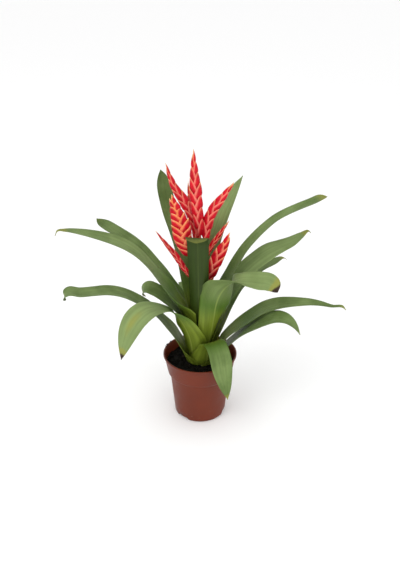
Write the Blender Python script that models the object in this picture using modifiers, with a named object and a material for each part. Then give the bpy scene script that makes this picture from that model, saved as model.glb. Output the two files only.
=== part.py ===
"""A potted vriesea: a nursery pot of compost, a short stem with a rosette of strap leaves,
and a flower stalk that carries flat spikes of overlapping bracts.

Units are metres. The pot's axis is +Z, its flat underside is at Z = 0, and the plant's
front is towards -Y. An azimuth is measured from +X towards +Y, in degrees.
"""

import math

import bmesh
import bpy
import numpy as np

# Driving dimensions
RIM_RADIUS = 0.060
POT_HEIGHT = 0.111
BASE_RADIUS = 0.0415
COLLAR_FOOT_RADIUS = 0.0527
COLLAR_FOOT_HEIGHT = 0.078
BODY_TOP_RADIUS = 0.0492
WALL = 0.0013
FLOOR = 0.0015
LIP_BEAD = 0.0012
LIP_HEIGHT = 0.0030

SOIL_EDGE_HEIGHT = 0.095
SOIL_CROWN_HEIGHT = 0.0965
GAP = 0.0003

CROWN_RADIUS = 0.0235
CROWN_TIP_RADIUS = 0.0045
CROWN_TIP_HEIGHT = 0.1040
CROWN_SLOPE = 0.40
STEM_FOOT_HEIGHT = 0.058

STALK_TOP = 0.3165
LEAF_THICKNESS = 0.0009
LEAF_FOOT_GAP = 0.0009
TIP_HALF_WIDTH = 0.0010
ROWS_ALONG = 18
ROWS_ACROSS = 6
TURN_STEPS = 48

DRAIN_NOTCHES = 3
DRAIN_NOTCH_AZIMUTH = -134.0
DRAIN_NOTCH_SIZE = (0.010, 0.018, 0.010)
DRAIN_HOLES = 4
DRAIN_HOLE_RADIUS = 0.004
DRAIN_HOLE_CIRCLE = 0.022


# An empty scene with two collections
for old in list(bpy.data.objects):
    bpy.data.objects.remove(old, do_unlink=True)

plant = bpy.data.collections.new("potted_vriesea")
bpy.context.scene.collection.children.link(plant)
cutters = bpy.data.collections.new("cutters")
bpy.context.scene.collection.children.link(cutters)


# Materials
def material(name, colour, roughness, metallic=0.0):
    made = bpy.data.materials.new(name)
    made.use_nodes = True
    shader = made.node_tree.nodes["Principled BSDF"]
    shader.inputs["Base Color"].default_value = (*colour, 1.0)
    shader.inputs["Roughness"].default_value = roughness
    shader.inputs["Metallic"].default_value = metallic
    made.diffuse_color = (*colour, 1.0)
    return made


pot_plastic = material("pot_plastic", (0.19, 0.055, 0.028), 0.45)
compost = material("compost", (0.012, 0.010, 0.008), 0.95)
pale_stem = material("pale_stem", (0.30, 0.36, 0.10), 0.6)
green_stalk = material("green_stalk", (0.16, 0.28, 0.06), 0.55)
leaf_green = material("leaf_green", (0.11, 0.21, 0.07), 0.5)
bract_red = material("bract_red", (0.62, 0.03, 0.05), 0.45)


# Shared shape helpers
def add_object(name, mesh, surface, home=plant):
    made = bpy.data.objects.new(name, mesh)
    made.data.materials.append(surface)
    home.objects.link(made)
    return made


def turned(name, profile, surface, steps=TURN_STEPS, closed=True):
    """Spin an outline of (radius, height) points once around Z.

    The outline runs down the outside and back up the inside. An open outline starts and
    ends on the axis.
    """
    mesh = bpy.data.meshes.new(name)
    points = [(radius, 0.0, height) for radius, height in profile]
    edges = [(i, i + 1) for i in range(len(points) - 1)]
    if closed:
        edges.append((len(points) - 1, 0))
    mesh.from_pydata(points, edges, [])
    made = add_object(name, mesh, surface)
    spin = made.modifiers.new("spin", "SCREW")
    spin.steps = steps
    spin.render_steps = steps
    spin.use_merge_vertices = True
    spin.merge_threshold = 0.00001
    return made


def cutter(name, mesh_maker, **settings):
    mesh = bpy.data.meshes.new(name)
    shape = bmesh.new()
    mesh_maker(shape, **settings)
    shape.to_mesh(mesh)
    shape.free()
    made = bpy.data.objects.new(name, mesh)
    made.hide_render = True
    made.display_type = "WIRE"
    cutters.objects.link(made)
    return made


def cut(target, tool):
    boolean = target.modifiers.new("cut_" + tool.name, "BOOLEAN")
    boolean.operation = "DIFFERENCE"
    boolean.solver = "EXACT"
    boolean.object = tool


def smooth_step(x, low, high):
    """0 below low, 1 above high, and 3t^2 - 2t^3 between them."""
    t = np.clip((x - low) / (high - low), 0.0, 1.0)
    return t * t * (3.0 - 2.0 * t)


def along_path(points, fractions):
    """Points at the given fractions of the length of a smooth curve through the points.

    Each span is a cubic Hermite curve with the slope of its neighbours at both ends.
    """
    knots = np.array(points)
    length = np.append(0.0, np.cumsum(np.linalg.norm(np.diff(knots, axis=0), axis=1)))
    slopes = np.gradient(knots, length, axis=0)
    at = np.asarray(fractions) * length[-1]
    span = np.clip(np.searchsorted(length, at, side="right") - 1, 0, len(length) - 2)
    size = (length[span + 1] - length[span])[:, None]
    t = (at - length[span])[:, None] / size
    return (
        (2 * t**3 - 3 * t**2 + 1) * knots[span]
        + (t**3 - 2 * t**2 + t) * size * slopes[span]
        + (3 * t**2 - 2 * t**3) * knots[span + 1]
        + (t**3 - t**2) * size * slopes[span + 1]
    )


def unit(vectors):
    return vectors / np.linalg.norm(vectors, axis=-1, keepdims=True)


# The pot: one moulded shell with a beaded lip, a deep collar and a flat floor
def pot_outer_radius(height):
    """Radius of the outer wall at a height, for the collar and the body below its step."""
    if height > COLLAR_FOOT_HEIGHT:
        share = (height - COLLAR_FOOT_HEIGHT) / (POT_HEIGHT - COLLAR_FOOT_HEIGHT)
        return COLLAR_FOOT_RADIUS + share * (
            RIM_RADIUS - LIP_BEAD - COLLAR_FOOT_RADIUS
        )
    return BASE_RADIUS + (BODY_TOP_RADIUS - BASE_RADIUS) * height / COLLAR_FOOT_HEIGHT


STEP_DROP = 0.005
BASE_ROUND = 0.0025
body_top = COLLAR_FOOT_HEIGHT - STEP_DROP
lip_foot = POT_HEIGHT - LIP_HEIGHT

pot = turned(
    "pot",
    [
        (RIM_RADIUS - 0.0006, POT_HEIGHT),
        (RIM_RADIUS, POT_HEIGHT - 0.0007),
        (RIM_RADIUS, lip_foot + 0.0006),
        (pot_outer_radius(lip_foot), lip_foot),
        (COLLAR_FOOT_RADIUS, COLLAR_FOOT_HEIGHT + 0.0012),
        (COLLAR_FOOT_RADIUS - 0.0008, COLLAR_FOOT_HEIGHT),
        (BODY_TOP_RADIUS, body_top),
        (pot_outer_radius(BASE_ROUND), BASE_ROUND),
        (BASE_RADIUS - 0.0008, 0.0007),
        (BASE_RADIUS - BASE_ROUND, 0.0),
        (0.0, 0.0),
        (0.0, FLOOR),
        (BASE_RADIUS - BASE_ROUND, FLOOR),
        (pot_outer_radius(BASE_ROUND) - WALL, BASE_ROUND + 0.0010),
        (BODY_TOP_RADIUS - WALL, body_top + 0.0004),
        (COLLAR_FOOT_RADIUS - WALL, COLLAR_FOOT_HEIGHT + 0.0018),
        (pot_outer_radius(POT_HEIGHT) - WALL, POT_HEIGHT),
    ],
    pot_plastic,
)

for number in range(DRAIN_NOTCHES):
    azimuth = math.radians(DRAIN_NOTCH_AZIMUTH + 360.0 * number / DRAIN_NOTCHES)
    notch = cutter(f"drain_notch_{number + 1}", bmesh.ops.create_cube, size=1.0)
    notch.scale = DRAIN_NOTCH_SIZE
    notch.rotation_euler.z = azimuth
    notch.location = (
        BASE_RADIUS * math.cos(azimuth),
        BASE_RADIUS * math.sin(azimuth),
        0.0,
    )
    cut(pot, notch)

for number in range(DRAIN_HOLES):
    azimuth = math.radians(20.0 + 360.0 * number / DRAIN_HOLES)
    hole = cutter(
        f"drain_hole_{number + 1}",
        bmesh.ops.create_cone,
        cap_ends=True,
        segments=16,
        radius1=DRAIN_HOLE_RADIUS,
        radius2=DRAIN_HOLE_RADIUS,
        depth=0.010,
    )
    hole.location = (
        DRAIN_HOLE_CIRCLE * math.cos(azimuth),
        DRAIN_HOLE_CIRCLE * math.sin(azimuth),
        0.0,
    )
    cut(pot, hole)


# The stem: a short crown that widens out of the compost and slopes up to the stalk
def crown_height(radius):
    return CROWN_TIP_HEIGHT - CROWN_SLOPE * (radius - CROWN_TIP_RADIUS)


stem_side = [
    (CROWN_TIP_RADIUS, CROWN_TIP_HEIGHT),
    (0.012, crown_height(0.012)),
    (CROWN_RADIUS, crown_height(CROWN_RADIUS)),
    (CROWN_RADIUS, crown_height(CROWN_RADIUS) - 0.0030),
    (0.0190, 0.0850),
    (0.0130, 0.0700),
    (0.0070, 0.0610),
]
stem = turned(
    "stem",
    [(0.0, CROWN_TIP_HEIGHT)] + stem_side + [(0.0, STEM_FOOT_HEIGHT)],
    pale_stem,
    steps=32,
    closed=False,
)

# The compost: fills the pot below the rim and leaves a socket around the stem
socket = [(radius + GAP, height) for radius, height in stem_side[4:]]
soil = turned(
    "potting_soil",
    [
        (CROWN_RADIUS + GAP, SOIL_CROWN_HEIGHT - 0.0035),
        (CROWN_RADIUS + 0.006, SOIL_CROWN_HEIGHT),
        (0.040, SOIL_EDGE_HEIGHT + 0.0008),
        (pot_outer_radius(SOIL_EDGE_HEIGHT) - WALL - GAP, SOIL_EDGE_HEIGHT),
        (COLLAR_FOOT_RADIUS - WALL - GAP, COLLAR_FOOT_HEIGHT + 0.0025),
        (BODY_TOP_RADIUS - WALL - GAP, body_top),
        (pot_outer_radius(BASE_ROUND) - WALL - GAP - 0.0002, BASE_ROUND + 0.0015),
        (BASE_RADIUS - BASE_ROUND - 0.0010, FLOOR + GAP),
        (0.0, FLOOR + GAP),
        (0.0, STEM_FOOT_HEIGHT - GAP),
        (socket[2][0], socket[2][1] - 0.0008),
        (socket[1][0], socket[1][1] - 0.0006),
        (socket[0][0] + 0.0002, socket[0][1] - 0.0004),
    ],
    compost,
)

# The flower stalk: a tapered rod that stands on the crown
stalk = turned(
    "flower_stalk",
    [
        (0.0, STALK_TOP),
        (0.0020, STALK_TOP),
        (0.0026, STALK_TOP - 0.0040),
        (0.0032, 0.240),
        (0.0040, CROWN_TIP_HEIGHT + GAP),
        (0.0, CROWN_TIP_HEIGHT + GAP),
    ],
    green_stalk,
    steps=16,
    closed=False,
)


# Leaves: a clasping sheath around the plant's axis that opens into a flat, arching blade
def leaf_surface(
    u,
    v,
    azimuth,
    path,
    sheath,
    blade,
    clasp,
    neck=(0.20, 0.50),
    taper=0.60,
    blunt=2.0,
    tail=TIP_HALF_WIDTH,
    roll=((0.0, 0.0), (1.0, 0.0)),
    turn=0.0,
    drift=(0.10, 1.00),
    cup=0.15,
    gutter=(0.0, 0.45),
    pinch=(0.0, 0.45),
    free=(0.024, 0.060),
):
    """Points of a leaf's middle surface, for u from foot to tip and v from -1 to 1 across.

    path holds the midrib as (reach, height). Below the reach free[0] the section is an arc
    around the plant's axis, so that sheaths nest like rings. Beyond free[1] it is a flat
    section of half-width w, with its edges raised by cup * w and rolled about the midrib.
    gutter raises the edges further and pinch narrows the leaf, each about its own u.
    """
    steps = np.linspace(0.0, 1.0, 400)
    foot = (path[0], crown_height(path[0]) + LEAF_FOOT_GAP)
    fine = along_path([foot] + list(path[1:]), steps)
    length = np.append(0.0, np.cumsum(np.linalg.norm(np.diff(fine, axis=0), axis=1)))
    reach = np.interp(u, length / length[-1], fine[:, 0])
    height = np.interp(u, length / length[-1], fine[:, 1])
    heading = np.radians(azimuth + turn * smooth_step(u, *drift))

    midrib = np.stack(
        [reach * np.cos(heading), reach * np.sin(heading), height], axis=-1
    )
    round_axis = np.stack(
        [-np.sin(heading), np.cos(heading), np.zeros_like(heading)], axis=-1
    )
    forward = unit(np.gradient(midrib, axis=0))
    side = unit(round_axis - (round_axis * forward).sum(-1, keepdims=True) * forward)
    face = np.cross(forward, side)
    rolled = np.radians(np.interp(u, *zip(*roll)))[..., None]
    side, face = (
        side * np.cos(rolled) + face * np.sin(rolled),
        face * np.cos(rolled) - side * np.sin(rolled),
    )

    width = sheath + (blade - sheath) * smooth_step(u, *neck)
    beyond = np.clip((u - taper) / (1.0 - taper), 0.0, 1.0)
    least = tail + (TIP_HALF_WIDTH - tail) * smooth_step(u, 0.97, 1.0)
    width = np.maximum(width * (1.0 - beyond**blunt), least)
    width = width * (1.0 - pinch[0] * np.exp(-(((u - pinch[1]) / 0.11) ** 2)))
    width = np.minimum(width, math.radians(clasp) * reach)

    angle = heading + v * width / reach
    channel = gutter[0] * np.exp(-(((u - gutter[1]) / 0.15) ** 2))
    climb = height + channel * width * v**2
    wrapped = np.stack([reach * np.cos(angle), reach * np.sin(angle), climb], axis=-1)
    across = (v * width)[..., None]
    lift = ((cup + channel) * width * v**2)[..., None]
    opened = midrib + side * across + face * lift
    share = smooth_step(reach, *free)[..., None]
    return wrapped * (1.0 - share) + opened * share


def add_leaf(name, **settings):
    """A grid of quads laid on the leaf's surface and thickened."""
    mesh = bpy.data.meshes.new(name)
    grid = bmesh.new()
    bmesh.ops.create_grid(
        grid, x_segments=ROWS_ALONG, y_segments=ROWS_ACROSS, size=1.0
    )
    order = sorted(grid.verts, key=lambda vert: (round(vert.co.x, 5), vert.co.y))
    shape = (ROWS_ALONG + 1, ROWS_ACROSS + 1)
    flat = np.array([vert.co[:2] for vert in order])
    u = (flat[:, 0].reshape(shape) + 1.0) / 2.0
    v = flat[:, 1].reshape(shape)
    # Rows close up towards the tip, where a leaf hooks over.
    u = 1.0 - (1.0 - u) ** 1.25
    points = leaf_surface(u, v, **settings).reshape(-1, 3)
    for vert, point in zip(order, points):
        vert.co = point
    bmesh.ops.recalc_face_normals(grid, faces=grid.faces)
    grid.to_mesh(mesh)
    grid.free()
    leaf = add_object(name, mesh, leaf_green)
    thicken = leaf.modifiers.new("thicken", "SOLIDIFY")
    thicken.thickness = LEAF_THICKNESS
    thicken.offset = 0.0
    return leaf


LEAVES = {
    "leaf_rear_right_upright": dict(
        azimuth=50, sheath=0.014, blade=0.014, clasp=75, taper=0.720, blunt=2.4, cup=0.250,
        path=[0.0065, (0.008, 0.150), (0.013, 0.2), (0.021, 0.250), (0.032, 0.290),
              (0.042, 0.313), (0.055, 0.335), (0.072, 0.356), (0.090, 0.374), (0.104, 0.386)],
    ),
    "leaf_rear_left_upright": dict(
        azimuth=125, sheath=0.016, blade=0.0135, clasp=64, taper=0.840, blunt=4, cup=0.3,
        path=[0.0085, (0.011, 0.145), (0.016, 0.180), (0.025, 0.208), (0.035, 0.232),
              (0.044, 0.258), (0.055, 0.283), (0.069, 0.305), (0.084, 0.326), (0.095, 0.348),
              (0.103, 0.370), (0.108, 0.393)],
    ),
    "leaf_front_upright": dict(
        azimuth=-96, sheath=0.018, blade=0.0165, clasp=60, taper=0.930, blunt=6, cup=0.050,
        free=(0.020, 0.038),
        path=[0.0095, (0.012, 0.140), (0.0145, 0.170), (0.0175, 0.2), (0.021, 0.240),
              (0.0255, 0.275), (0.0295, 0.304), (0.033, 0.322), (0.040, 0.332),
              (0.048, 0.335), (0.055, 0.331)],
    ),
    "leaf_front_right_arch": dict(
        azimuth=-45, turn=22, drift=(0.5, 0.950), sheath=0.025, blade=0.0155, clasp=51,
        neck=(0.6, 0.780), taper=0.880, blunt=4, cup=0.1, free=(0.024, 0.036),
        roll=((0, 0), (0.3, -15), (0.450, -35), (0.620, -30), (0.780, 25), (1, 30)),
        gutter=(0.5, 0.6),
        path=[0.0118, (0.016, 0.125), (0.021, 0.145), (0.026, 0.165), (0.030, 0.186),
              (0.035, 0.213), (0.043, 0.235), (0.051, 0.248), (0.060, 0.257), (0.073, 0.263),
              (0.087, 0.264), (0.101, 0.263), (0.112, 0.262), (0.121, 0.257), (0.126, 0.248)],
    ),
    "leaf_right_high": dict(
        azimuth=12, sheath=0.017, blade=0.0105, clasp=42, neck=(0.2, 0.6), taper=0.930,
        blunt=4, cup=0.2, roll=((0, 0), (0.250, 10), (0.5, 14), (0.750, 4), (1, 4)),
        path=[0.0092, (0.0125, 0.140), (0.018, 0.175), (0.026, 0.208), (0.037, 0.231),
              (0.048, 0.250), (0.057, 0.267), (0.070, 0.289), (0.088, 0.310), (0.104, 0.325),
              (0.120, 0.337), (0.134, 0.344), (0.155, 0.352), (0.176, 0.359), (0.192, 0.365),
              (0.199, 0.366)],
    ),
    "leaf_right_wide": dict(
        azimuth=15, sheath=0.018, blade=0.017, clasp=58, blunt=2.2, cup=0.1,
        roll=((0, 0), (0.250, 0), (0.6, 24), (1, 24)),
        path=[0.015, (0.019, 0.125), (0.024, 0.145), (0.030, 0.165), (0.038, 0.188),
              (0.047, 0.209), (0.057, 0.229), (0.068, 0.245), (0.083, 0.259), (0.099, 0.271),
              (0.115, 0.280), (0.132, 0.286), (0.149, 0.292), (0.165, 0.301), (0.177, 0.307),
              (0.181, 0.303)],
    ),
    "leaf_right_rear_short": dict(
        azimuth=25, sheath=0.018, blade=0.015, clasp=52, blunt=2.2, cup=0.1,
        roll=((0, 0), (0.3, 0), (0.6, 8), (1, 8)),
        path=[0.0175, (0.022, 0.120), (0.028, 0.138), (0.036, 0.158), (0.044, 0.177),
              (0.052, 0.195), (0.062, 0.212), (0.074, 0.227), (0.091, 0.238), (0.110, 0.245),
              (0.132, 0.249), (0.150, 0.252), (0.156, 0.248)],
    ),
    "leaf_right_low_long": dict(
        azimuth=-8, sheath=0.022, blade=0.019, clasp=34, taper=0.420, blunt=1.2, tail=0.003,
        cup=0.150, roll=((0, 0), (0.250, 0), (0.6, 12), (1, 12)),
        path=[0.0208, (0.0272, 0.112), (0.0345, 0.130), (0.046, 0.149), (0.064, 0.169),
              (0.082, 0.185), (0.102, 0.201), (0.122, 0.210), (0.140, 0.214), (0.157, 0.216),
              (0.172, 0.217), (0.188, 0.216), (0.206, 0.213), (0.222, 0.213), (0.227, 0.208)],
    ),
    "leaf_right_low_short": dict(
        azimuth=-20, sheath=0.026, blade=0.019, clasp=64, taper=0.550, cup=0.120,
        free=(0.026, 0.040), roll=((0, 0), (0.250, 0), (0.6, 12), (1, 12)),
        path=[0.0228, (0.030, 0.1105), (0.040, 0.126), (0.055, 0.144), (0.072, 0.165),
              (0.090, 0.181), (0.111, 0.195), (0.129, 0.202), (0.141, 0.201), (0.151, 0.195),
              (0.158, 0.187), (0.163, 0.178)],
    ),
    "leaf_front_drooping": dict(
        azimuth=-63, sheath=0.032, blade=0.018, clasp=85, neck=(0.050, 0.280), blunt=2.2,
        cup=0.1,
        path=[0.019, (0.0235, 0.109), (0.026, 0.122), (0.029, 0.136), (0.035, 0.147),
              (0.043, 0.153), (0.053, 0.154), (0.062, 0.148), (0.071, 0.134), (0.079, 0.114),
              (0.088, 0.095), (0.095, 0.078)],
    ),
    "leaf_left_arch": dict(
        azimuth=200, sheath=0.026, blade=0.015, clasp=55, neck=(0.320, 0.580), taper=0.660,
        cup=0.150, gutter=(0.4, 0.270), free=(0.024, 0.058),
        roll=((0, 0), (0.150, 0), (0.350, -18), (0.6, -20), (1, -8)),
        path=[0.0115, (0.014, 0.130), (0.018, 0.160), (0.024, 0.182), (0.032, 0.197),
              (0.042, 0.211), (0.056, 0.238), (0.070, 0.263), (0.084, 0.286), (0.102, 0.308),
              (0.119, 0.322), (0.138, 0.333), (0.160, 0.343), (0.181, 0.351), (0.202, 0.357),
              (0.212, 0.358), (0.216, 0.351)],
    ),
    "leaf_left_rear": dict(
        azimuth=152, sheath=0.018, blade=0.013, clasp=56, taper=0.880, blunt=4, cup=0.2,
        roll=((0, 0), (0.3, 0), (0.6, -5), (1, -5)),
        path=[0.0135, (0.016, 0.130), (0.0205, 0.155), (0.026, 0.175), (0.034, 0.196),
              (0.043, 0.210), (0.054, 0.222), (0.070, 0.240), (0.088, 0.256), (0.105, 0.271),
              (0.127, 0.284), (0.150, 0.293), (0.172, 0.301), (0.184, 0.306), (0.190, 0.310)],
    ),
    "leaf_left_short": dict(
        azimuth=172, sheath=0.017, blade=0.015, clasp=56, taper=0.8, blunt=3,
        roll=((0, 0), (0.3, 0), (0.6, -14), (1, -14)),
        path=[0.0155, (0.0185, 0.130), (0.023, 0.152), (0.0285, 0.172), (0.037, 0.190),
              (0.049, 0.203), (0.062, 0.214), (0.074, 0.221), (0.085, 0.224), (0.091, 0.220),
              (0.091, 0.213), (0.087, 0.208)],
    ),
    "leaf_front_left_drooping": dict(
        azimuth=236, turn=-15, drift=(0.150, 0.5), sheath=0.027, blade=0.022, clasp=76,
        taper=0.7, blunt=2.2, cup=0.080, free=(0.024, 0.036),
        roll=((0, 0), (0.3, 0), (0.6, -8), (1, -8)), gutter=(0.2, 0.380), pinch=(0.4, 0.5),
        path=[0.017, (0.0205, 0.118), (0.0245, 0.138), (0.0295, 0.158), (0.037, 0.177),
              (0.047, 0.196), (0.062, 0.212), (0.083, 0.224), (0.105, 0.228), (0.124, 0.221),
              (0.138, 0.206), (0.148, 0.186), (0.155, 0.163)],
    ),
    "leaf_left_low": dict(
        azimuth=190, sheath=0.029, blade=0.016, clasp=72, neck=(0.120, 0.4), taper=0.9,
        blunt=5, free=(0.024, 0.036), roll=((0, 0), (0.2, -5), (0.5, -6), (0.8, 0), (1, 0)),
        path=[0.0214, (0.027, 0.114), (0.0345, 0.134), (0.045, 0.155), (0.058, 0.174),
              (0.071, 0.192), (0.081, 0.203), (0.097, 0.216), (0.112, 0.226), (0.127, 0.233),
              (0.145, 0.237), (0.165, 0.237), (0.186, 0.237), (0.203, 0.240), (0.209, 0.236),
              (0.207, 0.228)],
    ),
    "leaf_rear_left_low": dict(
        azimuth=112, sheath=0.016, blade=0.013, clasp=40, taper=0.5, cup=0.2,
        path=[0.0185, (0.024, 0.118), (0.032, 0.136), (0.042, 0.156), (0.053, 0.174),
              (0.066, 0.188), (0.080, 0.196), (0.090, 0.197), (0.096, 0.192)],
    ),
    "leaf_rear_right_low": dict(
        azimuth=68, sheath=0.017, blade=0.014, clasp=34, cup=0.2,
        path=[0.021, (0.028, 0.116), (0.038, 0.133), (0.052, 0.150), (0.068, 0.164),
              (0.085, 0.172), (0.1, 0.172), (0.112, 0.165)],
    ),
}

for name, settings in LEAVES.items():
    add_leaf(name, **settings)


# Flower spikes: flat paddles whose two edges are notched where one bract ends on the next
def add_spike(name, azimuth, path, half_width, bracts):
    """Loft flattened rings along the spike, two rings to each pair of bracts."""
    rings = 2 * bracts + 2
    points_round = 8
    u = np.linspace(0.0, 1.0, rings)
    reach, height = along_path(path, u).T
    turn = math.radians(azimuth)
    middle = np.stack(
        [reach * math.cos(turn), reach * math.sin(turn), height], axis=-1
    )
    forward = unit(np.gradient(middle, axis=0))
    across = np.array([1.0, 0.0, 0.0])
    side = unit(across - (forward @ across)[:, None] * forward)
    depth = np.cross(forward, side)

    outline = np.interp(u, (0, 0.12, 0.35, 0.65, 1), (0.12, 0.45, 1.0, 0.75, 0.10))
    width = half_width * outline
    thick = np.interp(u, (0, 0.12, 0.5, 1), (0.0011, 0.0017, 0.0024, 0.0006))
    width = np.maximum(width, thick)
    tooth = np.where(np.arange(rings) % 2 == 0, 0.80, 1.0)

    loft = bmesh.new()
    angles = 2.0 * math.pi * np.arange(points_round) / points_round
    rows = []
    for i in range(rings):
        left_or_right = np.where(
            np.cos(angles) > 0, tooth[i], tooth[(i + 1) % rings]
        )
        ring = (
            middle[i]
            + np.outer(np.cos(angles) * left_or_right * width[i], side[i])
            + np.outer(np.sin(angles) * thick[i], depth[i])
        )
        rows.append([loft.verts.new(point) for point in ring])
    for lower, upper in zip(rows, rows[1:]):
        for j in range(points_round):
            k = (j + 1) % points_round
            loft.faces.new((lower[j], lower[k], upper[k], upper[j]))
    loft.faces.new(rows[0][::-1])
    loft.faces.new(rows[-1])
    bmesh.ops.recalc_face_normals(loft, faces=loft.faces)
    mesh = bpy.data.meshes.new(name)
    loft.to_mesh(mesh)
    loft.free()
    return add_object(name, mesh, bract_red)


SPIKES = {
    "spike_top": dict(
        azimuth=-140, half_width=0.010, bracts=9,
        path=[(0.000, 0.3185), (0.003, 0.335), (0.006, 0.360), (0.009, 0.400),
              (0.013, 0.456)],
    ),
    "spike_left_high": dict(
        azimuth=150, half_width=0.0065, bracts=8,
        path=[(0.0055, 0.308), (0.008, 0.325), (0.013, 0.346), (0.024, 0.364),
              (0.046, 0.392), (0.060, 0.423)],
    ),
    "spike_left_broad": dict(
        azimuth=-155, half_width=0.014, bracts=7,
        path=[(0.0055, 0.282), (0.016, 0.296), (0.026, 0.314), (0.032, 0.345),
              (0.040, 0.371), (0.048, 0.392)],
    ),
    "spike_rear": dict(
        azimuth=115, half_width=0.006, bracts=6,
        path=[(0.0055, 0.285), (0.010, 0.300), (0.018, 0.318), (0.028, 0.338),
              (0.036, 0.360), (0.041, 0.392)],
    ),
    "spike_right_high": dict(
        azimuth=8, half_width=0.0085, bracts=8,
        path=[(0.0055, 0.305), (0.009, 0.325), (0.013, 0.345), (0.020, 0.360),
              (0.033, 0.378), (0.050, 0.402)],
    ),
    "spike_right_thin": dict(
        azimuth=8, half_width=0.0045, bracts=6,
        path=[(0.0058, 0.272), (0.012, 0.288), (0.021, 0.306), (0.033, 0.324),
              (0.044, 0.341)],
    ),
    "spike_right_broad": dict(
        azimuth=-20, half_width=0.011, bracts=7,
        path=[(0.0055, 0.226), (0.013, 0.248), (0.024, 0.277), (0.038, 0.308),
              (0.049, 0.331)],
    ),
    "spike_left_thin": dict(
        azimuth=180, half_width=0.005, bracts=8,
        path=[(0.0058, 0.236), (0.012, 0.246), (0.022, 0.260), (0.036, 0.284),
              (0.052, 0.306), (0.067, 0.326)],
    ),
}

for name, settings in SPIKES.items():
    add_spike(name, **settings)

print(len(plant.objects), "sub-parts in", plant.name)
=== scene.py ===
# %% [markdown]
# # A potted vriesea
# This lesson builds the looks of a potted bromeliad around its packed solids: a nursery pot
# of compost, a rosette of strap leaves that wrap round each other at the foot, and a flower
# stalk with flat spikes of overlapping bracts. Every solid is replaced by a piece that keeps
# its size and place, with a finer shape and a material of its own.

import math

import bpy
import numpy as np
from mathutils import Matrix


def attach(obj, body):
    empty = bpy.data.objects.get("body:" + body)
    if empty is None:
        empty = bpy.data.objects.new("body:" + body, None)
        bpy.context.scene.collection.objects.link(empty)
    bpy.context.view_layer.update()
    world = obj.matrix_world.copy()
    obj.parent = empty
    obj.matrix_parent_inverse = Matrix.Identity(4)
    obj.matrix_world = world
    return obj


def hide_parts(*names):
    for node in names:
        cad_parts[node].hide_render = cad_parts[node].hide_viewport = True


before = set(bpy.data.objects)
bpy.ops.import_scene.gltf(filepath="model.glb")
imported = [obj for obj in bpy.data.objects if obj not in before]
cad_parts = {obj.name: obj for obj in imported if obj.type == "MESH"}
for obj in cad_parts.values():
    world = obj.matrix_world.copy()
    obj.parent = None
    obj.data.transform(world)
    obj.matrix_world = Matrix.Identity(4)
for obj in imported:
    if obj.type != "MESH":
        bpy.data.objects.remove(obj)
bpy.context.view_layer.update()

# %% [markdown]
# The camera stands about a metre in front of the plant and looks down on it at 27.5 degrees,
# as a person at a table does. A lens near the normal focal length keeps the perspective mild.

# %% Camera
CAMERA_DISTANCE = 1.150
CAMERA_PITCH = math.radians(27.5)
AIM_HEIGHT = 0.235
FOCAL_LENGTH = 46.5

camera_data = bpy.data.cameras.new("studio_camera")
camera_data.lens = FOCAL_LENGTH
camera_data.sensor_width = 36.0
camera = bpy.data.objects.new("studio_camera", camera_data)
camera.location = (
    0.0,
    -CAMERA_DISTANCE * math.cos(CAMERA_PITCH),
    AIM_HEIGHT + CAMERA_DISTANCE * math.sin(CAMERA_PITCH),
)
camera.rotation_euler = (math.pi / 2 - CAMERA_PITCH, 0.0, 0.0)
bpy.context.scene.collection.objects.link(camera)
bpy.context.scene.camera = camera
print("camera at", tuple(round(c, 3) for c in camera.location))

# %% [markdown]
# ## From arrays to meshes
# Every piece below is a surface worked out as an array of points, because leaves, bracts and a
# turned pot all follow a rule, and a rule is easier to change than a sculpted mesh. The first
# helper turns the arrays into a mesh object. It also writes the values that a material can read
# for each point, and hides the solids that the piece stands in for.


# %% A piece from points and faces
def make_piece(name, points, faces, surface, nodes=(), uv=None, values=None):
    """A mesh object from points (n, 3) and faces (m, 4) or (m, 3), riding on the root body.

    uv holds one (u, v) for each point, and values holds named numbers for each point.
    """
    mesh = bpy.data.meshes.new(name)
    points = np.asarray(points, dtype=np.float64).reshape(-1, 3)
    faces = faces.tolist() if isinstance(faces, np.ndarray) else faces
    mesh.from_pydata(points.tolist(), [], faces)
    mesh.polygons.foreach_set("use_smooth", np.ones(len(mesh.polygons), dtype=bool))
    if uv is not None:
        corners = np.empty(len(mesh.loops), dtype=np.int32)
        mesh.loops.foreach_get("vertex_index", corners)
        layer = mesh.uv_layers.new(name="UVMap")
        flat = np.asarray(uv, dtype=np.float32).reshape(-1, 2)[corners]
        layer.data.foreach_set("uv", flat.ravel())
    for key, numbers in (values or {}).items():
        attribute = mesh.attributes.new(key, "FLOAT", "POINT")
        attribute.data.foreach_set("value", np.asarray(numbers, dtype=np.float32).ravel())
    mesh.materials.append(surface)
    mesh.update()
    piece = bpy.data.objects.new(name, mesh)
    bpy.context.scene.collection.objects.link(piece)
    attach(piece, "root")
    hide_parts(*nodes)
    print(name, len(mesh.vertices), "points", len(mesh.polygons), "faces")


# %% [markdown]
# Points laid out in rows and columns need faces between them. A grid alone is an open sheet.
# A leaf or a bract has two sides, so its upper sheet and its lower sheet are joined by a strip
# round their border, and that makes one closed skin.


# %% Faces of grids and skins
def grid_faces(rows, columns, wrap=False):
    """Quads between neighbouring rows and columns of a grid; wrap closes the columns."""
    index = np.arange(rows * columns).reshape(rows, columns)
    across = np.roll(index, -1, axis=1) if wrap else index[:, 1:]
    here = index if wrap else index[:, :-1]
    quads = np.stack([here[:-1], across[:-1], across[1:], here[1:]], axis=-1)
    return quads.reshape(-1, 4)


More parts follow.
